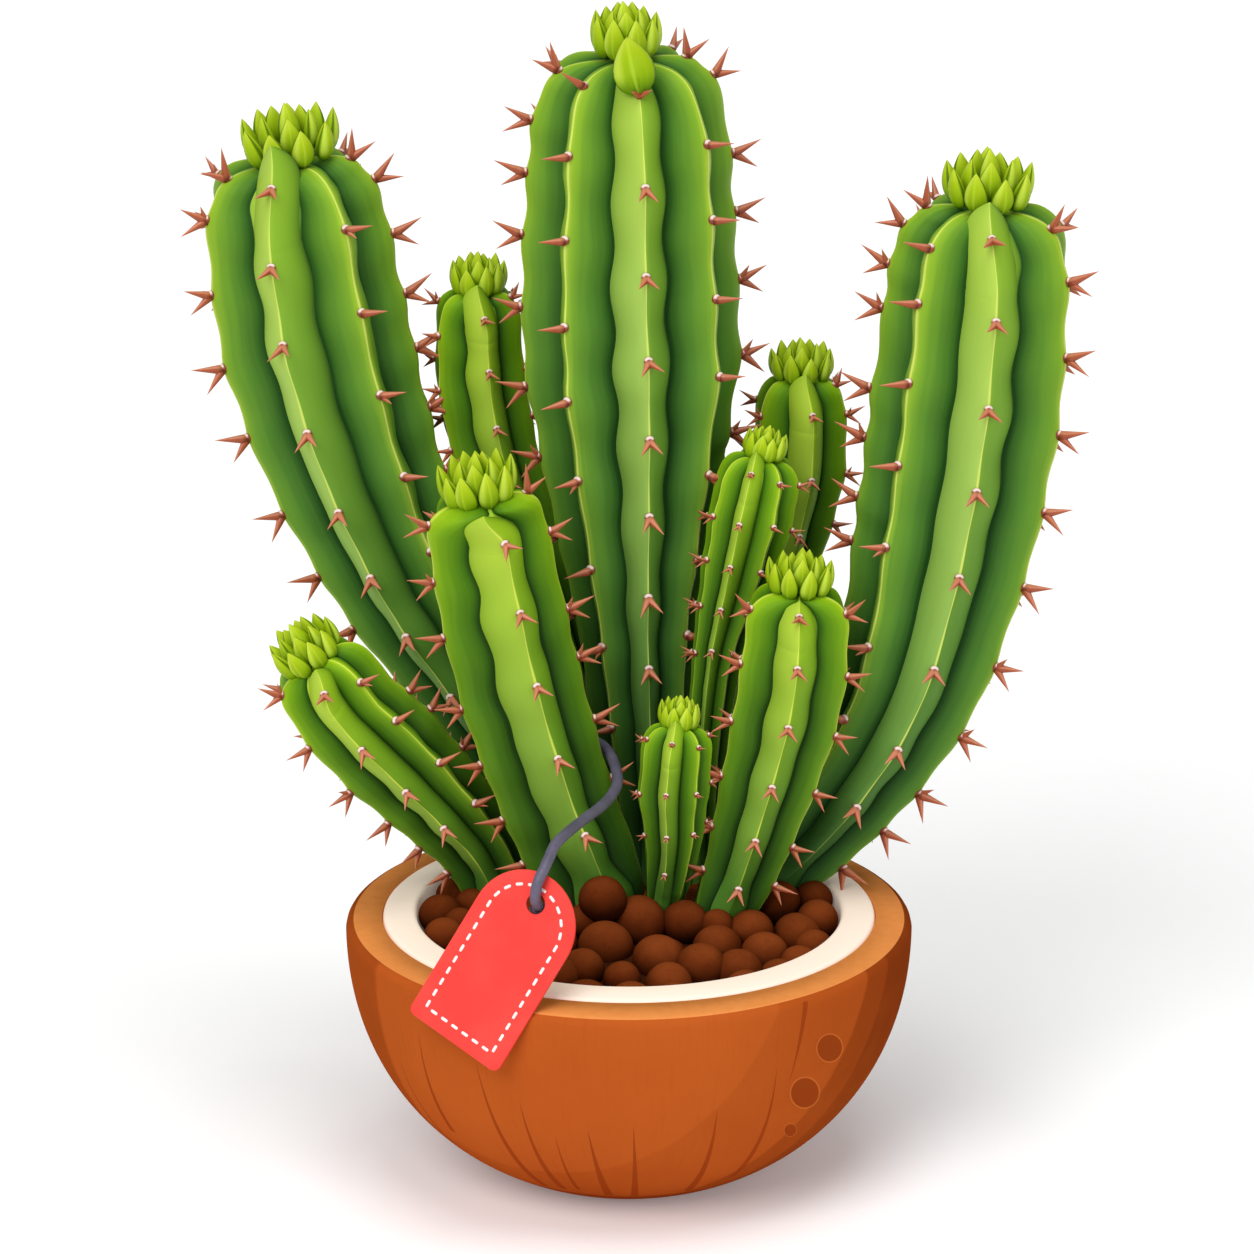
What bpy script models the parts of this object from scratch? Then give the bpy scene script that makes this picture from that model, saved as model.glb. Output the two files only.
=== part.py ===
"""A potted euphorbia: ten ribbed, spiny stems in a bed of clay balls, planted in half a coconut
shell that still has its white lining, with a blank hang tag tied on by a waxed cord.

Millimetres are written as n * MM. The origin is the middle of the flat foot of the shell, Z is
up and the front is -Y. Angles round a stem start at its front and turn towards +X."""

import math
import random
from collections import namedtuple

import bmesh
import bpy
from mathutils import Matrix, Vector
from mathutils.geometry import interpolate_bezier

MM = 0.001
GAP = 0.3 * MM  # between two pieces that touch

# Coconut shell: half a coconut, cut off level at its rim, with a flat foot
RIM_Z = 82 * MM
SHELL_RADIUS = 90 * MM
SHELL_DEPTH = 88 * MM  # from the rim to where the curve would end, below the flat foot
SHELL_POWER = 2.15  # of its outline: 2 is an ellipse, and more is fuller
SHELL_WALL = 11.5 * MM
RIM_ROUND = 3 * MM
SHELL_LIP = ((2.4 * MM, 0), (0.7 * MM, 1.2 * MM))  # (in from the outside, below the rim)
LINING_WALL = 10.8 * MM
LINING_RISE = 1.6 * MM  # the white lining stands this much above the shell's rim
LINING_INNER_LIP = ((0.3 * MM, 0.4 * MM), (1.5 * MM, 0))  # (out from its inside, below its top)
LINING_OUTER_LIP = ((1.2 * MM, 0.6 * MM), (0, 1.4 * MM))  # (in from its outside, below its top)
TURN_STEPS = 30
WALL_POINTS = 5  # of the curve from the rim to the middle of its bottom
OUTSIDE_POINTS = 8
EYES = (  # the three round spots of a coconut: (angle from the front, height, radius)
    (46, 61 * MM, 5.4 * MM),
    (41.5, 46.5 * MM, 6 * MM),
    (42.3, 31.3 * MM, 2.6 * MM),
)
EYE_DEPTH = 1.0 * MM
EYE_SIDES = 10
EYE_RINGS = 36  # a large ball makes each shallow dish, so only its first rings cut

# Bed of clay balls, mounded towards the middle
BED_EDGE_Z = 71 * MM
BED_MIDDLE_Z = 81 * MM
BED_TOP_RADII = (0, 33 * MM)  # where the mound's profile has points, inside its edge
BALL_RADIUS = 7.2 * MM
BALL_RINGS = ((57.2 * MM, 24), (43.2 * MM, 18), (29 * MM, 12), (14.5 * MM, 6), (0, 1))
BALL_JITTER = 0.3 * MM
BALL_TURN_JITTER = 0.02  # of the step from one ball to the next
BALL_SEED = 5
BALL_SIDES = 6
BALL_BANDS = 4
BALL_CLEAR = 1.5 * MM  # a ball whose middle is nearer to a stem is left out
HOLE_SIDES = 12
ROOT_DEPTH = 20 * MM  # how far a stem goes down into the bed
ROOT_DRAW = 0.2  # share of its distance from the middle by which a root's end draws inwards
ROOT_TAPER = 0.4

# Stems. The route gives the middle line from the soil to the crown as (x, y, z, crest radius).
RIB_DEPTH = 0.27  # of the crest radius
RIB_START = 12 * MM  # the ribs reach their full depth this far above the soil
DOME_POWER = 2.6
DOME_RINGS = (0.45, 0.75, 0.92, 1)  # shares of the dome's height
STEEPEST = 1.5  # fall of the surface that its normal still follows, near the crown
FINE_RIB = 4  # points round each rib of a thick stem
PLAIN_RIB = 2  # and of a slender one, which has only crests and valleys
SLENDER = 16.5 * MM
SPINE_ROOT = 3 * MM
SPINE_WIDTH = 3 * MM
SPINE_UP = 0.45  # lean of the spines that point up
SPINE_ASIDE = 0.42  # and of those that point down and aside
SPINE_DOWN = 0.38
TOP_PAD = 0.42  # share of the dome's height that the highest pads lie below the crown
LOWEST_PAD = 8 * MM
BUD_WIDTH = 9.5 * MM
BUD_TAPER = 0.35
BUD_RINGS = (  # (radius, count, lean, foot below the crown, length, first angle in steps)
    (7.8 * MM, 7, 26, 9 * MM, 15.5 * MM, 0.0),
    (3.6 * MM, 4, 14, 8 * MM, 19.5 * MM, 0.5),
    (0, 1, 0, 8 * MM, 21 * MM, 0.0),
)

Stem = namedtuple("Stem", "name ribs turn dome rings areole_step spine_length bud_scale route")
STEMS = (
    Stem("stem_left_tall", 7, -17, 26, 11, 26, 9.5, 1.0, (
        (-24, 46, 82, 11.5), (-31, 49, 107, 15), (-49, 52, 140, 18), (-71, 55, 176, 23),
        (-89, 59, 218, 28.5), (-100.5, 61, 258, 31.3), (-105.7, 62, 290, 30), (-110, 62, 320, 27))),
    Stem("stem_back_left", 6, 12, 14, 9, 17.5, 6, 0.75, (
        (-8, 59, 84, 6), (-12, 60, 120, 7.5), (-23.5, 62, 160, 10.5), (-37.5, 64, 199, 13.8),
        (-46.5, 66, 236, 15.3), (-48, 66, 273, 13.5))),
    Stem("stem_centre_tall", 8, 8, 30, 11, 28, 9.5, 1.0, (
        (7, 43, 86, 13), (5, 43, 120, 15), (3, 43, 167, 19.7), (2, 44, 211, 28),
        (1, 44, 255, 35), (0, 44, 290, 34.5), (0, 44, 324, 32.5), (-1, 44, 361, 28.5))),
    Stem("stem_front_left", 5, 20, 13, 9, 23.5, 8.5, 0.95, (
        (-10, 10, 87, 15.5), (-17, 8, 104, 17.8), (-24, 6, 123, 18.6), (-34, 3, 157, 20),
        (-41, -1, 190, 20.2), (-47.5, -4, 228, 18.8))),
    Stem("stem_low_left", 7, -15, 13, 8, 19.5, 8, 0.85, (
        (-41, 24, 83, 12), (-48, 21, 99, 13.5), (-60, 15, 116, 16), (-77, 8, 137, 18.5),
        (-90, 2, 153, 17.5), (-101.5, -1.5, 172, 16))),
    Stem("stem_back_right", 6, 15, 15, 9, 18, 6, 0.75, (
        (26, 52, 86, 6), (31, 54, 128, 9), (39, 56, 158, 11), (48, 57, 186, 14),
        (54, 59, 215, 15.8), (55, 60, 246, 14))),
    Stem("stem_mid_right", 8, -10, 13, 9, 14.5, 5, 0.65, (
        (24, 27, 88, 5), (25, 25, 130, 6.2), (28, 23, 162, 8), (34, 22, 189, 11.8),
        (39, 22, 212, 13.8), (43, 22, 232, 12.5))),
    Stem("stem_right_tall", 7, 13, 28, 11, 27, 9.5, 1.0, (
        (45, 25, 88, 13), (62, 26, 107, 17), (79, 25, 133, 21.5), (91, 23, 161, 25.5),
        (101.5, 26, 205, 30), (108, 28, 247, 31.5), (111.5, 30, 285, 30), (113.5, 30, 316, 27))),
    Stem("stem_front_right", 6, 7, 15, 9, 19.5, 7.5, 0.8, (
        (31, 2, 86, 10.5), (36, 1, 101, 13), (43, 0, 126, 16), (49, -1, 150, 18),
        (52, -2, 168, 18.4), (54, -3, 196.5, 17.2))),
    Stem("stem_tiny_front", 8, -8, 10, 7, 15, 4, 0.62, (
        (12, 0, 91, 6.5), (14, -5, 110, 9.2), (14, -7, 126, 11.4), (15, -8, 140, 11.4),
        (16, -8, 152, 10.5))),
)
BUD_SPIN = 0.83  # no two leaves of a crown are turned alike, so none meet edge to edge
FRONT_SWELLING = {"stem_centre_tall": 13.5 * MM}  # a fat young leaf on the front rib
SWELLING_LOW = 0.4  # share of the dome's height that its foot lies below the crown
SWELLING_SINK = 2 * MM
SWELLING_TIP = (5 * MM, 13 * MM)  # forwards of the crown, and above it
SWELLING_SIDES = 8
SHORT_SPINE = 6.5 * MM  # on a stem with shorter ones, one pad in four has a spine, else every other
SPINE_CLEAR = 1.6 * MM  # a spine that would come closer to another stem is left out
CORD_CLEAR = 4.5 * MM  # or closer to a point of the cord's middle line
TIP_CLEAR = 4 * MM  # or to another spine's tip

# Hang tag, leaning on the front left of the rim
TAG_WIDTH = 36 * MM
TAG_LENGTH = 61.5 * MM
TAG_THICK = 1.2 * MM
TAG_CORNER = 2.6 * MM
TAG_HOLE_RADIUS = 3.2 * MM
TAG_HOLE_DOWN = 9.6 * MM  # from the top of the tag's arch to the middle of its hole
TAG_ROUND = 24  # angle from the front to where the tag leans on the shell
TAG_LEAN = 20  # from upright
TAG_ROLL = 24.8  # of its top towards +X
TAG_FOOT = (-18.9 * MM, -10.2 * MM)  # its lower middle from where it leans: along the rim, and up

# Cord, from a knot behind the front left stem to a knot behind the tag
CORD_RADIUS = 1.8 * MM
KNOT_RADIUS = 3.8 * MM
KNOT_SIDES = 10
KNOT_BANDS = 6
CORD_STEP = 5.2 * MM
WRAP_RADIUS = 22.5 * MM
CORD_WRAP = (  # round the front left stem: (angle from the front, height)
    (182, 132.5), (155, 134), (128, 134.5), (104, 133.8), (82, 132.5))
CORD_REACH = (  # on to the tag
    (-3.6, -8, 131), (-5.4, -17, 129.8), (-9.2, -28, 129.7), (-14.5, -42, 130.7),
    (-20, -56, 131.2), (-23.7, -64, 129.8))
CORD_BEND = 8 * MM  # of its one bend out of the tag's hole and back over the tag's top
CORD_BEND_ENDS = (45, 165)  # angles of that bend, from along the tag upwards
CORD_ASIDE = 15  # turn of the bend to the left of the tag's own length
CORD_BEND_STEP = 15
CORD_HOLE_ANGLE = 150
SPAN_POINTS = 8  # of a smooth line between two of its knots


def material(name, colour, roughness):
    made = bpy.data.materials.new(name)
    made.use_nodes = True
    surface = made.node_tree.nodes["Principled BSDF"]
    surface.inputs["Base Color"].default_value = (*colour, 1)
    surface.inputs["Roughness"].default_value = roughness
    return made


def collection(name):
    made = bpy.data.collections.new(name)
    bpy.context.scene.collection.children.link(made)
    return made


def add_object(name, data, into, finish=None):
    made = bpy.data.objects.new(name, data)
    into.objects.link(made)
    if finish:
        data.materials.append(finish)
    return made


def mesh_from(name, bm):
    mesh = bpy.data.meshes.new(name)
    bm.to_mesh(mesh)
    bm.free()
    return mesh


def turned(name, profile, into, finish):
    """Turns a profile of (radius, height), given from the inner end to the outer, about Z."""
    mesh = bpy.data.meshes.new(name)
    edges = [(i, i + 1) for i in range(len(profile) - 1)]
    mesh.from_pydata([(radius, 0, height) for radius, height in profile], edges, [])
    made = add_object(name, mesh, into, finish)
    screw = made.modifiers.new("Turn", "SCREW")
    screw.steps = screw.render_steps = TURN_STEPS
    screw.use_merge_vertices = True
    screw.merge_threshold = 0.01 * MM
    return made


def bake(made):
    """Makes the modifiers' result the object's own mesh."""
    graph = bpy.context.evaluated_depsgraph_get()
    mesh = bpy.data.meshes.new_from_object(made.evaluated_get(graph))
    made.modifiers.clear()
    made.data = mesh
    return made


def combine(body, pieces, operation, solver="EXACT"):
    """Fuses pieces to the body, or cuts them out of it, and removes them."""
    group = collection(body.name + "_pieces")
    for piece in pieces:
        group.objects.link(piece)
    boolean = body.modifiers.new("Combine", "BOOLEAN")
    boolean.operation = operation
    boolean.operand_type = "COLLECTION"
    boolean.collection = group
    boolean.solver = solver
    bake(body)
    for piece in pieces:
        bpy.data.objects.remove(piece)
    bpy.data.collections.remove(group)
    return body


def shell_radius(height):
    """The radius of the shell's outside at a height."""
    below = (RIM_Z - height) / SHELL_DEPTH
    return SHELL_RADIUS * (1 - below**SHELL_POWER) ** (1 / SHELL_POWER)


def curved_wall(inset, high_z, low_z=-SHELL_DEPTH, count=WALL_POINTS):
    """Points of the shell's curve, moved inwards, from the bottom up. They stand at the same
    angles for every inset, so nested walls are parallel, and the line ends at the two heights."""
    across = SHELL_RADIUS - inset
    down = SHELL_DEPTH - inset
    angles = [math.pi / 2 * (1 - i / (count - 1)) for i in range(count)]
    bend = 2 / SHELL_POWER
    whole = [
        (across * max(0, math.cos(a)) ** bend, RIM_Z - down * math.sin(a) ** bend) for a in angles
    ]
    wall = []
    for (near, low), (far, high) in zip(whole, whole[1:]):
        start = max(low, low_z)
        end = min(high, high_z)
        if end > start:
            ends = [near + (far - near) * (z - low) / (high - low) for z in (start, end)]
            wall += [(ends[0], start), (ends[1], end)]
    return wall[::2] + wall[-1:]


def make_shell(parts, cutters):
    inner = curved_wall(SHELL_WALL, RIM_Z)
    outer = curved_wall(0, RIM_Z - RIM_ROUND, 0, OUTSIDE_POINTS)[::-1]
    lip = [(SHELL_RADIUS - inwards, RIM_Z - below) for inwards, below in SHELL_LIP]
    husk = material("coconut_husk", (0.55, 0.12, 0.02), 0.5)
    shell = turned("coconut_shell", inner + lip + outer + [(0, 0)], parts, husk)
    bake(shell)
    eyes = []
    for angle, height, radius in EYES:
        across = shell_radius(height)
        out = Vector((math.sin(math.radians(angle)), -math.cos(math.radians(angle)), 0))
        slope = (shell_radius(height + MM) - shell_radius(height - MM)) / (2 * MM)
        normal = (out - Vector((0, 0, slope))).normalized()
        ball = (radius**2 + EYE_DEPTH**2) / (2 * EYE_DEPTH)
        centre = out * across + Vector((0, 0, height)) + normal * (ball - EYE_DEPTH)
        bm = bmesh.new()
        turn = normal.to_track_quat("Z", "Y").to_matrix().to_4x4()
        bmesh.ops.create_uvsphere(
            bm, u_segments=EYE_SIDES, v_segments=EYE_RINGS, radius=ball,
            matrix=Matrix.Translation(centre) @ turn,
        )
        eyes.append(add_object("eye_cutter", mesh_from("eye_cutter", bm), cutters))
    return combine(shell, eyes, "DIFFERENCE")


def make_lining(parts):
    outer_inset = SHELL_WALL + GAP
    inner_inset = outer_inset + LINING_WALL
    inner = curved_wall(inner_inset, RIM_Z)
    top = RIM_Z + LINING_RISE
    lip = [(inner[-1][0] + outwards, top - below) for outwards, below in LINING_INNER_LIP]
    outside = SHELL_RADIUS - outer_inset
    lip += [(outside - inwards, top - below) for inwards, below in LINING_OUTER_LIP]
    outer = curved_wall(outer_inset, RIM_Z)[::-1]
    flesh = material("coconut_flesh", (0.95, 0.8, 0.68), 0.45)
    return bake(turned("coconut_lining", inner + lip + outer, parts, flesh))


def bed_height(radius):
    edge = SHELL_RADIUS - SHELL_WALL - LINING_WALL
    return BED_MIDDLE_Z - (BED_MIDDLE_Z - BED_EDGE_Z) * (radius / edge) ** 2


def smooth_line(knots):
    """Points of a smooth curve through the knots."""
    knots = [Vector(knot) for knot in knots]
    line = []
    for i in range(len(knots) - 1):
        start, end = knots[i], knots[i + 1]
        before = knots[max(i - 1, 0)]
        after = knots[min(i + 2, len(knots) - 1)]
        span = (end - start).length
        leave = (end - before).normalized() * span / 3
        arrive = (after - start).normalized() * span / 3
        line += interpolate_bezier(start, start + leave, end - arrive, end, SPAN_POINTS + 1)[:-1]
    return line + [knots[-1]]


def along(line, distance):
    """The place and direction at a distance along a line of points."""
    for i in range(len(line) - 1):
        step = line[i + 1] - line[i]
        if distance <= step.length or i == len(line) - 2:
            return line[i] + step.normalized() * distance, step.normalized()
        distance -= step.length


class StemShape:
    """The surface of one stem, by distance up its middle line and angle from the front."""

    def __init__(self, stem):
        self.stem = stem
        self.line = smooth_line([Vector(knot[:3]) * MM for knot in stem.route])
        self.length = sum((b - a).length for a, b in zip(self.line, self.line[1:]))
        self.dome = stem.dome * MM
        spans = [0]
        for a, b in zip(stem.route, stem.route[1:]):
            spans.append(spans[-1] + (Vector(b[:3]) - Vector(a[:3])).length)
        self.knots = [(self.length * s / spans[-1], k[3] * MM) for s, k in zip(spans, stem.route)]

    def radius(self, up):
        """The radius over the crests of the ribs."""
        wide = self.knots[0][1] * (1 + ROOT_TAPER * min(0, up) / ROOT_DEPTH)
        for (low, first), (high, second) in zip(self.knots, self.knots[1:]):
            if up > low:
                share = min(1, (up - low) / (high - low))
                wide = first + (second - first) * share
        into = max(0, (up - self.length + self.dome) / self.dome)
        return wide * (1 - min(1, into) ** DOME_POWER) ** (1 / DOME_POWER)

    def frame(self, up):
        """The middle, and the directions up the stem, to its front and to its right."""
        if up < 0:
            foot = self.line[0]
            inwards = Vector((foot.x, foot.y, 0)) * ROOT_DRAW * up / ROOT_DEPTH
            middle, rise = foot + inwards + Vector((0, 0, up)), Vector((0, 0, 1))
        else:
            middle, rise = along(self.line, up)
        front = (Vector((0, -1, 0)) + rise * rise.y).normalized()
        return middle, rise, front, rise.cross(front)

    def point(self, up, angle, plain=0.0):
        """A point of the surface; plain adds that much to a round stem with no ribs."""
        middle, _, front, right = self.frame(up)
        wide = self.radius(up)
        if plain:
            wide += plain
        else:
            crest = abs(math.cos((angle - math.radians(self.stem.turn)) * self.stem.ribs / 2))
            grown = min(1, max(0, (up + GAP) / RIB_START))
            wide *= 1 - RIB_DEPTH * grown * (1 - crest)
        return middle + (front * math.cos(angle) + right * math.sin(angle)) * wide

    def normal(self, up, angle):
        _, rise, front, right = self.frame(up)
        out = front * math.cos(angle) + right * math.sin(angle)
        step = 1 * MM
        slope = (self.radius(min(up + step, self.length)) - self.radius(up - step)) / (2 * step)
        return (out - rise * max(slope, -STEEPEST)).normalized()

    def stations(self):
        """Distances up the stem of the rings that make its body, from its root to its crown."""
        shoulder = self.length - self.dome
        below = self.stem.rings - len(DOME_RINGS)
        rings = [-ROOT_DEPTH, -ROOT_DEPTH, 0]
        rings += [shoulder * (i + 1) / (below - 1) for i in range(below - 1)]
        rings += [shoulder + self.dome * share for share in DOME_RINGS]
        return rings

    def body(self, plain=0.0):
        """A ball whose rings are moved onto the stem's surface."""
        rings = self.stations()
        widest = max(wide for _, wide in self.knots)
        around = self.stem.ribs * (FINE_RIB if widest > SLENDER else PLAIN_RIB)
        if plain:
            around = HOLE_SIDES
        swell = 1 / math.cos(math.pi / around) if plain else 1
        bm = bmesh.new()
        bmesh.ops.create_uvsphere(bm, u_segments=around, v_segments=len(rings) - 1, radius=1)
        for vertex in bm.verts:
            ring = round((1 - math.acos(max(-1, min(1, vertex.co.z))) / math.pi) * (len(rings) - 1))
            angle = math.atan2(vertex.co.y, vertex.co.x) + math.pi / 2
            angle += math.radians(self.stem.turn)
            up = rings[ring]
            if ring in (0, len(rings) - 1):
                vertex.co = self.frame(up)[0]
                if plain:
                    vertex.co += Vector((0, 0, -plain if ring == 0 else plain))
            else:
                if plain and ring == 1:
                    up -= plain
                grown = (self.radius(up) + plain) * swell - self.radius(up)
                vertex.co = self.point(up, angle, grown if plain else 0.0)
        bmesh.ops.recalc_face_normals(bm, faces=bm.faces)
        return bm

    def clearance(self, place):
        """How far a place is from this stem's round outline, taken at each of its line's points."""
        done = 0
        nearest = math.inf
        for i, point in enumerate(self.line):
            if i:
                done += (point - self.line[i - 1]).length
            nearest = min(nearest, (place - point).length - self.radius(min(done, self.length)))
        return nearest


def pointed_bud(root, direction, length, width, spin=0.0, sides=4):
    """A young leaf: a ball drawn out to a point, its foot sunk in the crown."""
    bm = bmesh.new()
    bmesh.ops.create_uvsphere(bm, u_segments=sides, v_segments=3, radius=1)
    for vertex in bm.verts:
        share = (vertex.co.z + 1) / 2
        half = width / 2 * (1 - BUD_TAPER * share)
        vertex.co = Vector((vertex.co.x * half, vertex.co.y * half, share * length))
    turn = direction.to_track_quat("Z", "Y").to_matrix().to_4x4() @ Matrix.Rotation(spin, 4, "Z")
    bmesh.ops.transform(bm, matrix=Matrix.Translation(root) @ turn, verts=bm.verts)
    return bm


def crown_buds(shape):
    """The rings of young leaves that stand in a stem's crown."""
    scale = shape.stem.bud_scale
    top, rise, front, right = shape.frame(shape.length)
    buds = []
    for ring_radius, count, lean, sink, length, offset in BUD_RINGS:
        for i in range(count):
            angle = math.radians(shape.stem.turn) + 2 * math.pi * (i + offset) / count
            out = front * math.cos(angle) + right * math.sin(angle)
            direction = rise * math.cos(math.radians(lean)) + out * math.sin(math.radians(lean))
            root = top + (out * ring_radius - rise * sink) * scale
            spin = BUD_SPIN * (i + 1) + ring_radius / MM
            buds.append(pointed_bud(root, direction, length * scale, BUD_WIDTH * scale, spin))
    if shape.stem.name in FRONT_SWELLING:
        width = FRONT_SWELLING[shape.stem.name]
        angle = math.radians(shape.stem.turn)
        low = shape.length - SWELLING_LOW * shape.dome
        root = shape.point(low, angle) - shape.normal(low, angle) * SWELLING_SINK
        leaf = top + front * SWELLING_TIP[0] + rise * SWELLING_TIP[1] - root
        direction = leaf.normalized()
        buds.append(pointed_bud(root, direction, leaf.length, width, BUD_SPIN, SWELLING_SIDES))
    return buds


def spine(root, direction, length):
    bm = bmesh.new()
    bmesh.ops.create_cone(
        bm, cap_ends=True, segments=3, radius1=SPINE_WIDTH / 2, radius2=0, depth=length
    )
    turn = direction.to_track_quat("Z", "Y").to_matrix().to_4x4()
    place = Matrix.Translation(root + direction * length / 2) @ turn
    bmesh.ops.transform(bm, matrix=place, verts=bm.verts)
    return bm


def stem_spines(shape, others, kept_clear, tips):
    """Spines on some of the pads that stand along each rib, turned up or down by turns, with the
    cramped ones left out. kept_clear is the cord's line, and tips grows from stem to stem."""
    stem = shape.stem
    step = stem.areole_step * MM
    length = stem.spine_length * MM
    spines = []
    for rib in range(stem.ribs):
        angle = math.radians(stem.turn) + 2 * math.pi * rib / stem.ribs
        up = shape.length - TOP_PAD * shape.dome - step / 2 * (rib % 2)
        turn = rib
        while up > LOWEST_PAD:
            out = shape.normal(up, angle)
            _, rise, _, _ = shape.frame(up)
            side = rise.cross(out).normalized()
            lifted = turn // 2 % 2
            slant = rise * SPINE_UP if lifted else side * SPINE_ASIDE - rise * SPINE_DOWN
            direction = (out + slant).normalized()
            root = shape.point(up, angle) - out * SPINE_ROOT
            tip = root + direction * (length + SPINE_ROOT)
            middle = root + direction * (length + SPINE_ROOT) * 0.6
            room = all(
                other.clearance(place) > SPINE_CLEAR for other in others for place in (middle, tip)
            )
            room = room and all(
                (cord - place).length > CORD_CLEAR for cord in kept_clear for place in (middle, tip)
            )
            room = room and all((other - tip).length > TIP_CLEAR for other in tips)
            wanted = turn % 2 if length > SHORT_SPINE else turn % 4 == 0
            if room and wanted:
                spines.append(spine(root, direction, length + SPINE_ROOT))
                tips.append(tip)
            up -= step
            turn += 1
    return spines


def make_stems(shapes, cord_points, parts, cutters):
    green = material("euphorbia_green", (0.08, 0.3, 0.05), 0.4)
    tips = []
    for shape in shapes:
        body = add_object(shape.stem.name, mesh_from(shape.stem.name, shape.body()), parts, green)
        others = [other for other in shapes if other is not shape]
        shapes_on_it = crown_buds(shape) + stem_spines(shape, others, cord_points, tips)
        pieces = [add_object("growth", mesh_from("growth", bm), cutters) for bm in shapes_on_it]
        combine(body, pieces, "UNION", "MANIFOLD")


def make_bed(shapes, parts, cutters):
    inset = SHELL_WALL + LINING_WALL + 2 * GAP
    wall = curved_wall(inset, BED_EDGE_Z)[::-1]
    top = [(radius, bed_height(radius)) for radius in BED_TOP_RADII]
    clay = material("clay_balls", (0.12, 0.035, 0.012), 0.8)
    bed = bake(turned("clay_ball_bed", top + wall, parts, clay))
    draw = random.Random(BALL_SEED)
    balls = []
    for ring_radius, count in BALL_RINGS:
        for i in range(count):
            turn_jitter = draw.uniform(-BALL_TURN_JITTER, BALL_TURN_JITTER)
            angle = 2 * math.pi * (i + turn_jitter) / count
            radius = ring_radius + draw.uniform(-1, 0.2) * BALL_JITTER
            lift = draw.uniform(-0.6, 1) * BALL_JITTER
            centre = Vector((
                radius * math.sin(angle), -radius * math.cos(angle), bed_height(radius) + lift))
            if min(shape.clearance(centre) for shape in shapes) < BALL_CLEAR:
                continue
            bm = bmesh.new()
            bmesh.ops.create_uvsphere(
                bm, u_segments=BALL_SIDES, v_segments=BALL_BANDS, radius=BALL_RADIUS,
                matrix=Matrix.Translation(centre) @ Matrix.Rotation(draw.uniform(0, 3), 4, "Z"),
            )
            balls.append(add_object("ball", mesh_from("ball", bm), cutters))
    combine(bed, balls, "UNION", "MANIFOLD")
    holes = [add_object("hole", mesh_from("hole", shape.body(GAP)), cutters) for shape in shapes]
    return combine(bed, holes, "DIFFERENCE", "MANIFOLD")


def tag_frame():
    """The tag's lower middle, and its directions: up it, across it and out of its front."""
    turn = math.radians(TAG_ROUND)
    lean = math.radians(TAG_LEAN)
    roll = math.radians(TAG_ROLL)
    outward = Vector((-math.sin(turn), -math.cos(turn), 0))
    beside = Vector((math.cos(turn), -math.sin(turn), 0))
    slope = Vector((0, 0, math.cos(lean))) - outward * math.sin(lean)
    out = outward * math.cos(lean) + Vector((0, 0, math.sin(lean)))
    leans_on = outward * (SHELL_RADIUS - 0.1 * MM) + Vector((0, 0, RIM_Z - RIM_ROUND))
    foot = leans_on + beside * TAG_FOOT[0] + slope * TAG_FOOT[1] + out * (GAP + TAG_THICK / 2)
    upward = slope * math.cos(roll) + beside * math.sin(roll)
    across = beside * math.cos(roll) - slope * math.sin(roll)
    return foot, upward, across, out


def arc(centre, radius, start, end, count):
    angles = [math.radians(start + (end - start) * i / (count - 1)) for i in range(count)]
    return [(centre[0] + radius * math.cos(a), centre[1] + radius * math.sin(a)) for a in angles]


def make_tag(parts):
    foot, upward, across, out = tag_frame()
    half = TAG_WIDTH / 2
    outline = arc((half - TAG_CORNER, TAG_CORNER), TAG_CORNER, -90, 0, 4)
    outline += arc((0, TAG_LENGTH - half), half, 0, 180, 19)
    outline += arc((TAG_CORNER - half, TAG_CORNER), TAG_CORNER, 180, 270, 4)
    hole = arc((0, TAG_LENGTH - TAG_HOLE_DOWN), TAG_HOLE_RADIUS, 0, 337.5, 16)
    card = bpy.data.curves.new("hang_tag", "CURVE")
    card.dimensions = "2D"
    card.fill_mode = "BOTH"
    card.extrude = TAG_THICK / 2
    for points in (outline, hole):
        edge = card.splines.new("POLY")
        edge.points.add(len(points) - 1)
        for point, (x, y) in zip(edge.points, points):
            point.co = (x, y, 0, 1)
        edge.use_cyclic_u = True
    tag = add_object("hang_tag", card, parts, material("tag_card", (0.96, 0.09, 0.08), 0.55))
    tag.matrix_world = Matrix.Translation(foot) @ Matrix((across, upward, out)).transposed().to_4x4()
    return tag


def cord_route(shapes):
    """Knots of the cord's middle line, from behind the front left stem to behind the tag."""
    stem = next(shape for shape in shapes if shape.stem.name == "stem_front_left")
    knots = []
    for angle, height in CORD_WRAP:
        middle = min(stem.line, key=lambda point: abs(point.z - height * MM))
        turn = math.radians(angle)
        out = Vector((math.sin(turn), -math.cos(turn), 0)) * WRAP_RADIUS
        knots.append(Vector((middle.x, middle.y, height * MM)) + out)
    knots += [Vector(place) * MM for place in CORD_REACH]
    foot, upward, across, out = tag_frame()
    hole = foot + upward * (TAG_LENGTH - TAG_HOLE_DOWN)
    aside = math.radians(CORD_ASIDE)
    rise = upward * math.cos(aside) - across * math.sin(aside)
    through = math.radians(CORD_HOLE_ANGLE)
    centre = hole - (rise * math.cos(through) + out * math.sin(through)) * CORD_BEND
    for turn in range(CORD_BEND_ENDS[0], CORD_BEND_ENDS[1] + 1, CORD_BEND_STEP):
        angle = math.radians(turn)
        knots.append(centre + (rise * math.cos(angle) + out * math.sin(angle)) * CORD_BEND)
    return knots


def evenly(line, step):
    total = sum((b - a).length for a, b in zip(line, line[1:]))
    count = round(total / step)
    return [along(line, total * i / count)[0] for i in range(count + 1)]


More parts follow.
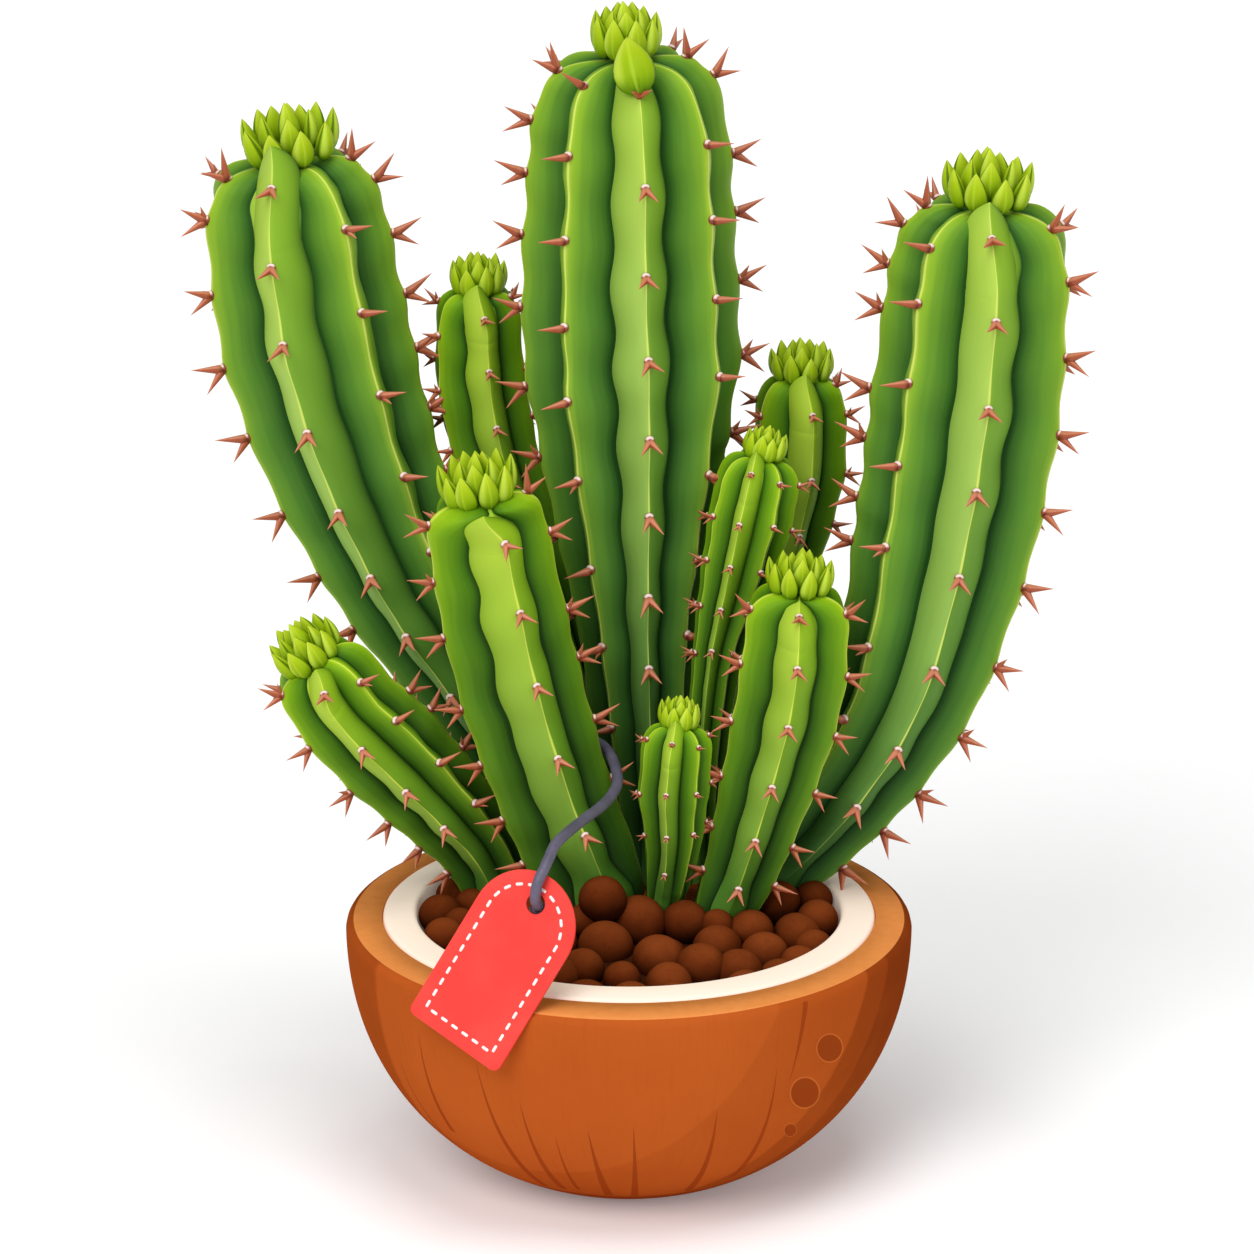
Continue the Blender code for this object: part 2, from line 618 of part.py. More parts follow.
def make_cord(points, parts):
    tube = bpy.data.curves.new("tag_cord", "CURVE")
    tube.dimensions = "3D"
    tube.bevel_depth = CORD_RADIUS
    tube.bevel_resolution = 2
    tube.use_fill_caps = True
    route = tube.splines.new("POLY")
    route.points.add(len(points) - 1)
    for point, place in zip(route.points, points):
        point.co = (*place, 1)
    waxed = material("waxed_cord", (0.1, 0.09, 0.14), 0.6)
    add_object("tag_cord", tube, parts, waxed)
    for name, end, inner in (
        ("cord_knot_stem", points[0], points[1]), ("cord_knot_tag", points[-1], points[-2])
    ):
        bm = bmesh.new()
        away = (end - inner).normalized()
        turn = away.to_track_quat("Z", "Y").to_matrix().to_4x4()
        centre = end + away * (KNOT_RADIUS + GAP)
        bmesh.ops.create_uvsphere(
            bm, u_segments=KNOT_SIDES, v_segments=KNOT_BANDS, radius=KNOT_RADIUS,
            matrix=Matrix.Translation(centre) @ turn,
        )
        add_object(name, mesh_from(name, bm), parts, waxed)


def main():
    for old in list(bpy.data.objects):
        bpy.data.objects.remove(old)
    parts = collection("potted_euphorbia")
    cutters = collection("helpers")
    shapes = [StemShape(stem) for stem in STEMS]
    cord_points = evenly(smooth_line(cord_route(shapes)), CORD_STEP)
    make_shell(parts, cutters)
    make_lining(parts)
    make_bed(shapes, parts, cutters)
    make_stems(shapes, cord_points, parts, cutters)
    make_tag(parts)
    make_cord(cord_points, parts)
    for made in parts.objects:
        if made.type == "MESH":
            made.data.shade_smooth()
            made.data.set_sharp_from_angle(angle=math.radians(40))


main()
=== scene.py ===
"""A potted euphorbia: ten ribbed, spiny stems in a bed of clay balls, planted in half a coconut
shell that keeps its white lining, with a blank hang tag tied on by a waxed cord."""

import math
import random

import bpy
import numpy as np
from mathutils import Color, Matrix, Vector
from mathutils.geometry import interpolate_bezier


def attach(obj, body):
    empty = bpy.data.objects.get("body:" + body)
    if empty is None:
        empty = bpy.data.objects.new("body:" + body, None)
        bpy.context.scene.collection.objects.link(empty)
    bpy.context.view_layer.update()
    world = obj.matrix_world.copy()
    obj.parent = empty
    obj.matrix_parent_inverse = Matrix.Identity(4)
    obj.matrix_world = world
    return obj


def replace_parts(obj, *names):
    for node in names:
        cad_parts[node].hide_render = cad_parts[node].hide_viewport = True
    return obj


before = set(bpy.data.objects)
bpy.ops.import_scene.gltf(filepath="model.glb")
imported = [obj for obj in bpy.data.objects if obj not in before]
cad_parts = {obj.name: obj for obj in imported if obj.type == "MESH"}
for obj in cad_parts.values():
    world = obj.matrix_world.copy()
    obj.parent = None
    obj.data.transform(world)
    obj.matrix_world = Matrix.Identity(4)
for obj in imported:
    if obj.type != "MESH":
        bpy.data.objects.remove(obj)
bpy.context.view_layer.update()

# Studio: a pale floor in an even white room, under three broad lights, at the upper left, at the
# right and overhead. It is seen through a very long lens from 20 degrees above.
MM = 0.001
LOOK_DOWN = math.radians(20)
LENS = 600
SENSOR = 36
VIEW_WIDTH = 398.1 * MM
AIM = Vector((-0.6, 20, 173)) * MM
LAMPS = (  # (name, place, spread in degrees, strength)
    ("key_light", (-0.65, -1.15, 1.35), 36, 1.45), ("side_light", (1.1, -1.3, 0.9), 40, 0.4),
    ("top_light", (0.1, -0.3, 1.7), 30, 1.1))
ROOM_LIGHT = 0.36
FLOOR_SIZE = 40
FLOOR_GREY = 0.9
FLOOR_GLOW = 0.16


def colour(red, green, blue):
    """A colour given in the usual 0 to 255."""
    return tuple(Color((red / 255, green / 255, blue / 255)).from_srgb_to_scene_linear())


def deselect():
    if bpy.context.object and bpy.context.object.mode == "EDIT":
        bpy.ops.object.mode_set(mode="OBJECT")
    bpy.ops.object.select_all(action="DESELECT")


deselect()
away = VIEW_WIDTH * LENS / SENSOR
eye = AIM + Vector((0, -math.cos(LOOK_DOWN), math.sin(LOOK_DOWN))) * away
bpy.ops.object.camera_add(location=eye, rotation=(math.pi / 2 - LOOK_DOWN, 0, 0))
camera = bpy.context.object
camera.data.lens = LENS
camera.data.sensor_width = SENSOR
camera.data.clip_end = FLOOR_SIZE * 1.5
bpy.context.scene.camera = camera
bpy.context.scene.view_settings.view_transform = "Standard"

for name, place, spread, strength in LAMPS:
    turn = (AIM - Vector(place)).to_track_quat("-Z", "Y").to_euler()
    bpy.ops.object.light_add(type="SUN", location=place, rotation=turn)
    light = bpy.context.object
    light.name = name
    light.data.angle = math.radians(spread)
    light.data.energy = strength

world = bpy.data.worlds.new("room")
world.use_nodes = True
room = world.node_tree.nodes["Background"]
room.inputs["Color"].default_value = (1, 1, 1, 1)
room.inputs["Strength"].default_value = ROOM_LIGHT
bpy.context.scene.world = world

bpy.ops.mesh.primitive_plane_add(size=FLOOR_SIZE)
floor = bpy.context.object
floor.name = "floor"
pale = bpy.data.materials.new("pale_floor")
pale.use_nodes = True
paper = pale.node_tree.nodes["Principled BSDF"].inputs
paper["Base Color"].default_value = (FLOOR_GREY, FLOOR_GREY, FLOOR_GREY, 1)
paper["Roughness"].default_value = 0.9
paper["Specular IOR Level"].default_value = 0
paper["Emission Color"].default_value = (1, 1, 1, 1)
paper["Emission Strength"].default_value = FLOOR_GLOW
floor.data.materials.append(pale)

# Tag cord: a waxed cord of three twisted yarns, knotted behind the front left stem, led round
# its back and over to the tag, through the tag's hole and knotted again behind the card.
CORD_RADIUS = 1.8 * MM
CORD_ROUTE = (  # mm, from the knot behind the stem to the one behind the tag
    (-27.5, 27.7, 132.5), (-22.5, 26.7, 133.4), (-17.8, 24.9, 134.1), (-13.6, 22.0, 134.4),
    (-10.0, 18.4, 134.5), (-7.5, 14.0, 134.2), (-5.8, 9.2, 133.6), (-4.7, 4.2, 132.8),
    (-4.0, -0.8, 132.1), (-3.6, -5.8, 131.3), (-3.9, -10.9, 130.6), (-5.1, -15.8, 129.9),
    (-6.6, -20.7, 129.6), (-8.3, -25.5, 129.6), (-10.1, -30.3, 129.8), (-11.9, -35.1, 130.2),
    (-13.7, -39.9, 130.6), (-15.5, -44.7, 130.9), (-17.4, -49.4, 131.1), (-19.3, -54.2, 131.2),
    (-21.3, -58.9, 131.0), (-23.5, -63.4, 130.0), (-25.0, -67.8, 128.0), (-26.7, -72.0, 125.5),
    (-28.7, -74.4, 121.6), (-29.4, -74.0, 116.6), (-28.6, -71.1, 112.6))
CORD_SPAN_RINGS = 4
CORD_SIDES = 24
CORD_YARNS = 3
CORD_LAY = 13 * MM  # length of one twist
CORD_GROOVE = 0.07  # of the radius


class Tone:
    """One output of a shader node. A sum written with it adds its own Math nodes."""

    def __init__(self, finish, socket):
        self.finish = finish
        self.socket = socket

    def math(self, operation, *values):
        return self.finish.node("Math", {"operation": operation}, dict(enumerate(values)))

    def output(self, index):
        return Tone(self.finish, self.socket.node.outputs[index])

    def __add__(self, other):
        return self.math("ADD", self, other)

    def __mul__(self, other):
        return self.math("MULTIPLY", self, other)

    def __sub__(self, other):
        return self.math("SUBTRACT", self, other)

    def __rsub__(self, other):
        return self.math("SUBTRACT", other, self)

    def __truediv__(self, other):
        return self.math("DIVIDE", self, other)

    def __pow__(self, other):
        return self.math("POWER", self, other)

    def __abs__(self):
        return self.math("ABSOLUTE", self)

    __radd__ = __add__
    __rmul__ = __mul__

    def between(self, low, high):
        """0 up to low and 1 from high on, with a soft step between them."""
        settings = {"interpolation_type": "SMOOTHSTEP"}
        return self.finish.node("MapRange", settings, {0: self, 1: low, 2: high})


class Finish:
    """A procedural material: its nodes are added by sums of tones and by the method node."""

    def __init__(self, name, **constants):
        self.material = bpy.data.materials.new(name)
        self.material.use_nodes = True
        self.tree = self.material.node_tree
        self.surface = self.tree.nodes["Principled BSDF"]
        for socket, value in constants.items():
            self.show(socket.replace("_", " "), value)

    def feed(self, node, socket, value):
        entry = node.inputs[socket]
        if isinstance(value, Tone):
            self.tree.links.new(value.socket, entry)
        elif entry.type == "RGBA":
            entry.default_value = (*value, 1)
        else:
            entry.default_value = value

    def show(self, socket, value):
        self.feed(self.surface, socket, value)

    def node(self, kind, settings, values, output=0):
        """Adds a node: its settings first, then the values or links of its sockets."""
        made = self.tree.nodes.new("ShaderNode" + kind)
        for setting, value in settings.items():
            if setting == "stops":
                stops = made.color_ramp.elements
                while len(stops) < len(value):
                    stops.new(1)
                for stop, (place, tint) in zip(stops, value):
                    stop.position = place
                    stop.color = (*tint, 1)
            else:
                setattr(made, setting, value)
        for socket, value in values.items():
            self.feed(made, socket, value)
        return Tone(self, made.outputs[output])

    def coordinates(self, kind):
        return self.node("TexCoord", {}, {}, {"Object": 3, "UV": 2}[kind])

    def parts(self, vector):
        """The three numbers of a vector."""
        split = self.node("SeparateXYZ", {}, {0: vector})
        return split, split.output(1), split.output(2)

    def attribute(self, name):
        return self.node("Attribute", {"attribute_name": name}, {}, 2)

    def stretched(self, vector, scale):
        return self.node("Mapping", {}, {"Vector": vector, "Scale": scale})

    def noise(self, vector, scale, detail=3.0, roughness=0.55):
        values = {"Vector": vector, "Scale": scale, "Detail": detail, "Roughness": roughness}
        return self.node("TexNoise", {}, values)

    def mix(self, share, first, second):
        return self.node("Mix", {"data_type": "RGBA"}, {0: share, 6: first, 7: second}, 2)

    def ramp(self, share, *stops):
        return self.node("ValToRGB", {"stops": stops}, {0: share})

    def bump(self, height, distance, strength=1.0):
        values = {"Height": height, "Distance": distance, "Strength": strength}
        self.show("Normal", self.node("Bump", {}, values))


def smooth_line(knots, span_points):
    """Points of a smooth curve through the knots."""
    knots = [Vector(knot) for knot in knots]
    line = []
    for i in range(len(knots) - 1):
        start, end = knots[i], knots[i + 1]
        before = knots[max(i - 1, 0)]
        after = knots[min(i + 2, len(knots) - 1)]
        span = (end - start).length
        leave = (end - before).normalized() * span / 3
        arrive = (after - start).normalized() * span / 3
        line += interpolate_bezier(start, start + leave, end - arrive, end, span_points + 1)[:-1]
    return line + [knots[-1]]


def faced_out(merge=0):
    """Merges the doubles of the piece in hand, if asked, and turns its faces outwards."""
    bpy.ops.object.mode_set(mode="EDIT")
    bpy.ops.mesh.select_all(action="SELECT")
    if merge:
        bpy.ops.mesh.remove_doubles(threshold=merge)
    bpy.ops.mesh.normals_make_consistent(inside=False)
    bpy.ops.object.mode_set(mode="OBJECT")


def grown_ball(name, around, rings, shape, heights=None):
    """Adds a ball and draws its rings out: shape takes each point's ring, from 0 at the bottom,
    and its share of a turn, and gives its place. heights are the rings' own UV heights."""
    deselect()
    bpy.ops.mesh.primitive_uv_sphere_add(segments=around, ring_count=rings, radius=1)
    piece = bpy.context.object
    piece.name = piece.data.name = name
    mesh = piece.data
    places = np.empty(len(mesh.vertices) * 3)
    mesh.vertices.foreach_get("co", places)
    level = np.arccos(np.clip(places.reshape(-1, 3)[:, 2], -1, 1)) / np.pi
    ring = np.rint((1 - level) * rings).astype(int)
    corners = np.empty(len(mesh.loops), int)
    mesh.loops.foreach_get("vertex_index", corners)
    uv = np.empty(len(mesh.loops) * 2)
    mesh.uv_layers[0].data.foreach_get("uv", uv)
    uv = uv.reshape(-1, 2)
    turn = np.zeros(len(mesh.vertices))
    turn[corners] = np.rint(uv[:, 0] * around) / around % 1
    mesh.vertices.foreach_set("co", shape(ring, turn).ravel())
    if heights is not None:
        uv[:, 1] = np.asarray(heights)[ring[corners]]
        mesh.uv_layers[0].data.foreach_set("uv", uv.ravel())
    mesh.update()
    faced_out()
    bpy.ops.object.shade_smooth()
    return piece


def swept(name, line, around, radius):
    """A round cord that follows a line of points, with rounded ends; radius takes a distance
    along it and a share of a turn."""
    line = [Vector(point) for point in line]
    directions = [(b - a).normalized() for a, b in zip(line[:-1], line[1:])]
    directions = [directions[0]] + [
        (a + b).normalized() for a, b in zip(directions, directions[1:])] + [directions[-1]]
    side = directions[0].orthogonal().normalized()
    frames = []
    for direction in directions:
        side = (side - direction * side.dot(direction)).normalized()
        frames.append((side, direction.cross(side)))
    ends = (0, 0, *range(1, len(line) - 1), len(line) - 1, len(line) - 1)
    middle = np.array([line[i] for i in ends])
    sides = np.array([frames[i][0] for i in ends])
    others = np.array([frames[i][1] for i in ends])
    steps = np.linalg.norm(np.diff(middle, axis=0), axis=1)
    distance = np.concatenate(([0], np.cumsum(steps)))
    shut = np.ones(len(ends))
    shut[0] = shut[-1] = 0

    def place(ring, turn):
        wide = radius(distance[ring], turn) * shut[ring]
        angle = 2 * np.pi * turn
        across = sides[ring] * np.cos(angle)[:, None] + others[ring] * np.sin(angle)[:, None]
        return middle[ring] + across * wide[:, None]

    return grown_ball(name, around, len(ends) - 1, place)


def dressed(piece, finish):
    """Gives a piece its material and its slot, and lets it stand with the plant."""
    piece.data.materials.clear()
    piece.data.materials.append(finish.material)
    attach(piece, "root")
    return piece


def cord_width(distance, turn):
    yarn = np.abs(np.sin((turn + distance / CORD_LAY) * np.pi * CORD_YARNS))
    return CORD_RADIUS * (1 - CORD_GROOVE * (1 - yarn))


cord_line = smooth_line([Vector(point) * MM for point in CORD_ROUTE], CORD_SPAN_RINGS)
cord_length = sum((b - a).length for a, b in zip(cord_line, cord_line[1:]))

waxed = Finish("waxed_cord")
fibre = waxed.noise(waxed.coordinates("Object"), 900, 4)
patch = waxed.noise(waxed.coordinates("Object"), 140, 2)
yarn_tint = waxed.mix(patch, colour(72, 66, 86), colour(118, 112, 134))
waxed.show("Base Color", waxed.mix(fibre * 0.5, yarn_tint, colour(60, 54, 72)))
waxed.show("Roughness", 0.4 + 0.2 * fibre)
waxed.bump(fibre, 0.12 * MM, 0.5)
cord = dressed(swept("tag_cord_twisted", cord_line, CORD_SIDES, cord_width), waxed)
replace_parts(cord, "tag_cord")

# Coconut shell: half of a ripe coconut in its brown husk, sawn level and sanded, so that the
# cut fibre shows as a tan band on top. It is turned as one wall with a flat foot.
RIM_Z = 82 * MM
SHELL_RADIUS = 90 * MM
SHELL_DEPTH = 88 * MM
SHELL_POWER = 2.15
SHELL_WALL = 11.5 * MM
RIM_RISE = 1 * MM  # of the sawn top, from its outer edge to its inner one
SHELL_STEPS = 288
SEAM_MERGE = 0.02 * MM  # where a turned shape closes on itself
OUTSIDE_POINTS = 44
INSIDE_POINTS = 16
RIM_LIP = ((3.6, 0), (2.4, 0.1), (1.5, 0.4), (0.8, 1.0), (0.3, 1.9))  # (in, below the rim), mm
SPOTS = (  # (to the right, up across the view, half width, half height): round from the front
    (63.4 * MM, 36.5 * MM, 4.0 * MM, 4.35 * MM),
    (55.6 * MM, 22.3 * MM, 4.5 * MM, 4.85 * MM),
    (51.1 * MM, 10.2 * MM, 1.95 * MM, 2.05 * MM),
)
SPOT_DEPTH = 0.6 * MM
GRAIN = (  # dark fibres as (angle, height) at the thin end and at the wide end, and half width
    ((-48.3, 66), (-49.3, 28), 1.1), ((-33.2, 62), (-30, 9), 1.3), ((-24, 50), (-22.6, 9), 1.2),
    ((-17, 37), (-16.8, 10), 0.7), ((-9.2, 41), (-7.1, 7), 1.4), ((1, 43), (2, 7), 1.2),
    ((19.3, 48), (20.8, 8), 1.4), ((32.1, 60), (33.7, 13), 1.2), ((35.9, 52), (38.3, 80), 1.0),
)
GRAIN_CELL = 13  # degrees between two fibres on the sides and the back
GRAIN_FRONT = 54
LIT_FROM = (-0.5, -0.78, 0.38)  # direction of the painted light: the husk is painted lighter towards it and in painted shade away from it


def shell_radius(height, inset=0.0):
    """The radius of the shell's outside, or of a wall nested inside it, at a height."""
    below = (RIM_Z - height) / (SHELL_DEPTH - inset)
    return (SHELL_RADIUS - inset) * max(0, 1 - below**SHELL_POWER) ** (1 / SHELL_POWER)


def spun(name, profile, steps):
    """Draws a profile of (radius, height) as a chain of points and turns it about Z."""
    deselect()
    first = Vector((profile[0][0], 0, profile[0][1]))
    bpy.ops.mesh.primitive_plane_add(size=MM, location=(0, 0, 0))
    piece = bpy.context.object
    piece.name = piece.data.name = name
    bpy.ops.object.mode_set(mode="EDIT")
    bpy.ops.mesh.select_all(action="SELECT")
    bpy.ops.mesh.merge(type="CENTER")
    bpy.ops.transform.translate(value=first)
    for (near, low), (far, high) in zip(profile, profile[1:]):
        step = (far - near, 0, high - low)
        bpy.ops.mesh.extrude_region_move(TRANSFORM_OT_translate={"value": step})
    bpy.ops.mesh.select_all(action="SELECT")
    bpy.ops.mesh.spin(steps=steps, angle=2 * math.pi, center=(0, 0, 0), axis=(0, 0, 1))
    faced_out(SEAM_MERGE)
    bpy.ops.object.shade_smooth()
    return piece


def wall_line(inset, low, high, points):
    """Points of a nested wall from its low end up, closer together near the bottom."""
    heights = [low + (high - low) * (i / (points - 1)) ** 1.4 for i in range(points)]
    return [(shell_radius(height, inset), height) for height in heights]


inside_low = RIM_Z - (SHELL_DEPTH - SHELL_WALL)
profile = [(0, 0), (shell_radius(0) - 1.2 * MM, 0), (shell_radius(0) - 0.2 * MM, 0.3 * MM)]
profile += wall_line(0, 0.9 * MM, RIM_Z - 3.2 * MM, OUTSIDE_POINTS)
profile += [(SHELL_RADIUS - inwards * MM, RIM_Z - below * MM) for inwards, below in RIM_LIP[::-1]]
profile += [(SHELL_RADIUS - SHELL_WALL, RIM_Z + RIM_RISE)]
profile += wall_line(SHELL_WALL, inside_low, RIM_Z, INSIDE_POINTS)[::-1]
shell = spun("coconut_husk", profile, SHELL_STEPS)

places = np.empty(len(shell.data.vertices) * 3)
shell.data.vertices.foreach_get("co", places)
places = places.reshape(-1, 3)
reach = np.hypot(places[:, 0], places[:, 1])
outside = reach > np.array([shell_radius(min(z, RIM_Z)) for z in places[:, 2]]) - 2 * MM
across_view = places[:, 2] * math.cos(LOOK_DOWN) + places[:, 1] * math.sin(LOOK_DOWN)
for right, rise, half_width, half_height in SPOTS:
    aside = (places[:, 0] - right) / half_width
    above = (across_view - rise) / half_height
    dish = np.clip((1.15 - np.sqrt(aside**2 + above**2)) / 0.25, 0, 1)
    dish *= outside * (places[:, 1] < 0)
    inwards = SPOT_DEPTH * dish * dish * (3 - 2 * dish) / np.maximum(reach, MM)
    places[:, 0] -= places[:, 0] * inwards
    places[:, 1] -= places[:, 1] * inwards
shell.data.vertices.foreach_set("co", places.ravel())
shell.data.update()

husk = Finish("coconut_husk", Specular_IOR_Level=0)
spot = husk.coordinates("Object")
east, north, up = husk.parts(spot)
round_angle = east.math("ARCTAN2", east, north * -1.0) * (180 / math.pi)
breadth = (east * east + north * north) ** 0.5
wash = husk.noise(spot, 16, 4, 0.6)
# Painted light and shade: lighter and darker bands of husk by their turn towards LIT_FROM, and
# painted shade over the left side round to the back.
lit = east * (LIT_FROM[0] / SHELL_RADIUS) + north * (LIT_FROM[1] / SHELL_RADIUS)
lit = lit + (up - RIM_Z) * (LIT_FROM[2] / SHELL_DEPTH) + (wash - 0.5) * 0.03
body = husk.mix(lit.between(0.385, 0.4), colour(172, 79, 28), colour(180, 85, 32))
body = husk.mix(lit.between(-0.02, 0.0), colour(148, 64, 21), body)
body = husk.mix(lit.between(-0.16, -0.145), colour(132, 56, 18), body)
body = husk.mix((1 - round_angle.between(-64, -62)) * 0.55, body, colour(136, 56, 17))
body = husk.mix(wash.between(0.35, 0.7) * 0.2, body, colour(206, 104, 42))
meridian = husk.node("CombineXYZ", {}, {0: round_angle * 0.16, 1: up * 9.0})
fibres = husk.noise(meridian, 6.0, 5, 0.65)
body = husk.mix(fibres.between(0.5, 0.75) * 0.14, body, colour(150, 62, 20))
foot_shade = 1 - up.between(5.5 * MM, 7 * MM)
body = husk.mix(foot_shade * 0.8, body, colour(148, 60, 20))


def fibre_stroke(from_line, share, half_width):
    """A dark fibre that widens from nothing at share 0 to its half width at share 1."""
    edge = share.math("MAXIMUM", share, 0.0) * half_width
    on = (1 - (from_line / (edge + 0.02 * MM)).between(0.8, 1.15)) * share.between(0.0, 0.05)
    return on * (1 - share.between(1.0, 1.02))


strokes = None
for (angle, high), (wide_angle, low), half_width in GRAIN:
    share = (up - high * MM) * (1 / ((low - high) * MM))
    from_line = abs(round_angle - (share * (wide_angle - angle) + angle)) * breadth
    stroke = fibre_stroke(from_line * (math.pi / 180), share, half_width * MM)
    strokes = stroke if strokes is None else strokes.math("MAXIMUM", strokes, stroke)
strokes = strokes * (1 - abs(round_angle).between(GRAIN_FRONT - 1, GRAIN_FRONT))
cell = (round_angle * (1 / GRAIN_CELL)).math("FLOOR", round_angle * (1 / GRAIN_CELL))
chance = husk.node("TexWhiteNoise", {"noise_dimensions": "1D"}, {"W": cell})
from_line = abs(round_angle - (cell + 0.3 + 0.4 * chance) * GRAIN_CELL) * breadth
top_end = (34 + 30 * chance) * MM
share = (top_end - up) / (top_end - 9 * MM)
stroke = fibre_stroke(from_line * (math.pi / 180), share, 0.9 * MM)
stroke = stroke * abs(round_angle).between(GRAIN_FRONT, GRAIN_FRONT + 1)
strokes = strokes.math("MAXIMUM", strokes, stroke)
body = husk.mix(strokes * 0.85, body, colour(148, 60, 20))
across_view = up * math.cos(LOOK_DOWN) + north * math.sin(LOOK_DOWN)
spots = spot_lit_edges = None
for right, rise, half_width, half_height in SPOTS:
    aside = (east - right) * (1 / half_width)
    above = (across_view - rise) * (1 / half_height)
    distance = (aside * aside + above * above) ** 0.5
    inner = 1 - distance.between(0.96, 1.0)
    rim = 1 - distance.between(1.06, 1.1)
    spots = inner if spots is None else spots.math("MAXIMUM", spots, inner)
    spot_lit_edges = rim if spot_lit_edges is None else spot_lit_edges.math("MAXIMUM", spot_lit_edges, rim)
facing = north.math("LESS_THAN", north, 0.0)
# Painted light: a lighter ring round each spot, as the lit edge of its dish.
body = husk.mix(spot_lit_edges * facing * 0.35, body, colour(222, 124, 60))
body = husk.mix(spots * facing, body, colour(150, 64, 22))
sawn = husk.noise(husk.stretched(spot, (1, 1, 0.2)), 260, 3)
band = husk.mix(sawn.between(0.35, 0.7) * 0.4, colour(230, 144, 76), colour(218, 130, 64))
cut_edge = breadth - north * north * (1.3 * MM / SHELL_RADIUS**2)
on_top = up.between(RIM_Z - 3.4 * MM, RIM_Z - 3 * MM) * (1 - cut_edge.between(87.5 * MM, 87.7 * MM))
husk.show("Base Color", husk.mix(on_top, body, band))
husk.show("Roughness", 0.5 + 0.2 * wash + 0.1 * on_top)
husk.bump(fibres * 0.5 - strokes * 0.9 + sawn * on_top * 0.4, 0.3 * MM, 0.5)
dressed(shell, husk)
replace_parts(shell, "coconut_shell")

# Lining: the coconut's own white flesh, left in the shell as a ring. Its top was cut smooth
# and stands a little above the husk.
LINING_GAP = 0.3 * MM
LINING_WALL = 10.8 * MM
LINING_RISE = 2.8 * MM
LINING_STEPS = 192
INNER_LIP = ((0, 2.6), (0.1, 1.3), (0.4, 0.6), (0.9, 0.2), (1.7, 0))  # (out, below the top), mm
OUTER_LIP = ((1.6, 1), (0.8, 1.2), (0.25, 1.7), (0, 2.5))  # (in, below the top), mm

outer_inset = SHELL_WALL + LINING_GAP
inner_inset = outer_inset + LINING_WALL
top = RIM_Z + LINING_RISE
inner_edge = SHELL_RADIUS - inner_inset
outer_edge = SHELL_RADIUS - outer_inset
profile = wall_line(inner_inset, RIM_Z - (SHELL_DEPTH - inner_inset), RIM_Z - 2 * MM, INSIDE_POINTS)
profile += [(inner_edge + out * MM, top - below * MM) for out, below in INNER_LIP]
profile += [(outer_edge - inwards * MM, top - below * MM) for inwards, below in OUTER_LIP]
outer_low = RIM_Z - (SHELL_DEPTH - outer_inset)
profile += wall_line(outer_inset, outer_low, RIM_Z - 0.5 * MM, INSIDE_POINTS)[::-1]
lining = spun("coconut_flesh", profile, LINING_STEPS)

# The flesh glows faintly as painted light, to lift it where the plant shades it.
flesh = Finish("coconut_flesh", Specular_IOR_Level=0.05, Emission_Strength=0.15)
spot = flesh.coordinates("Object")
clouds = flesh.noise(spot, 30, 3)
grain = flesh.noise(spot, 420, 4)
milky = flesh.mix(clouds, colour(247, 231, 216), colour(247, 225, 207))
# Painted shade: the inner wall turns greyer, and its glow dimmer, further down.
depth_shade = 1 - flesh.parts(spot)[2].between(RIM_Z - 14 * MM, top - 0.8 * MM)
flesh.show("Base Color", flesh.mix(depth_shade * 0.5, milky, colour(196, 182, 178)))
flesh.show("Roughness", 0.45 + 0.15 * grain)
flesh.show("Emission Color", flesh.mix(depth_shade, milky, colour(120, 104, 100)))
flesh.bump(grain, 0.15 * MM, 0.35)
dressed(lining, flesh)
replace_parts(lining, "coconut_lining")

# Clay balls: fired clay grains of 11 to 17 mm, poured over the soil as a cover and mounded a
# little round the stems. One lumpy ball is modelled, and each other is a turned copy of it.
BED_EDGE_Z = 74 * MM
BED_MIDDLE_Z = 82 * MM
BALL_RADIUS = 7.2 * MM
FRONT_BALLS = (  # (x, y, z, radius) in mm
    (-8.4, -10.0, 91.8, 7.8), (3.3, -8.0, 83.6, 8.7), (17.8, -8.0, 83.2, 7.5),
    (-7.4, -20.0, 79.6, 8.7), (-13.5, -8.0, 83.6, 6.3), (47.2, 8.0, 83.8, 7.5),
    (38.7, -9.0, 81.0, 7.0), (27.9, -21.0, 79.5, 7.8), (42.9, -21.5, 77.7, 7.5),
    (53.5, -4.0, 77.0, 7.8), (58.8, 16.0, 81.9, 6.4), (60.2, 3.0, 80.2, 6.6),
    (53.7, 30.0, 80.9, 6.0), (-59.8, 4.0, 81.3, 7.0), (-58.6, -14.0, 80.8, 6.4),
    (-55.1, 24.0, 80.0, 6.4), (-46.2, 39.0, 79.1, 7.2), (-49.9, 14.0, 81.1, 5.5),
    (-53.2, -6.0, 81.9, 5.5), (-14.4, -38.0, 78.7, 7.0), (-2.3, -48.0, 79.3, 6.0),
    (9.4, -31.0, 79.6, 8.2), (22.9, -36.0, 78.6, 8.2), (27.9, -10.0, 82.9, 5.5))
BALL_RINGS = (  # (distance from the middle, count, how much lower than the bed's top), mm
    (59.5, 28, 0), (50, 24, 0), (40, 19, 0), (30, 14, 0), (20, 9, 0), (10, 5, 0),
    (57, 27, 5), (45, 21, 5), (34, 16, 5), (24, 11, 5))
BALL_SEED = 5
BALL_SIZES = (0.86, 1.08)  # of the usual radius
CLOSEST = 0.7  # of two balls' radii, at which a ring's ball gives way to a listed one
LUMPS = 14
LUMP_RISE = 0.035
LUMP_POWER = 6  # a higher power makes smaller lumps
UNDER_BALLS = 3 * MM  # how far the shaded fill lies under the middles of the top balls
UNDER_STEPS = 96
TINT_STEP = 0.61803  # from one ball to the next, so that no two beside each other look alike


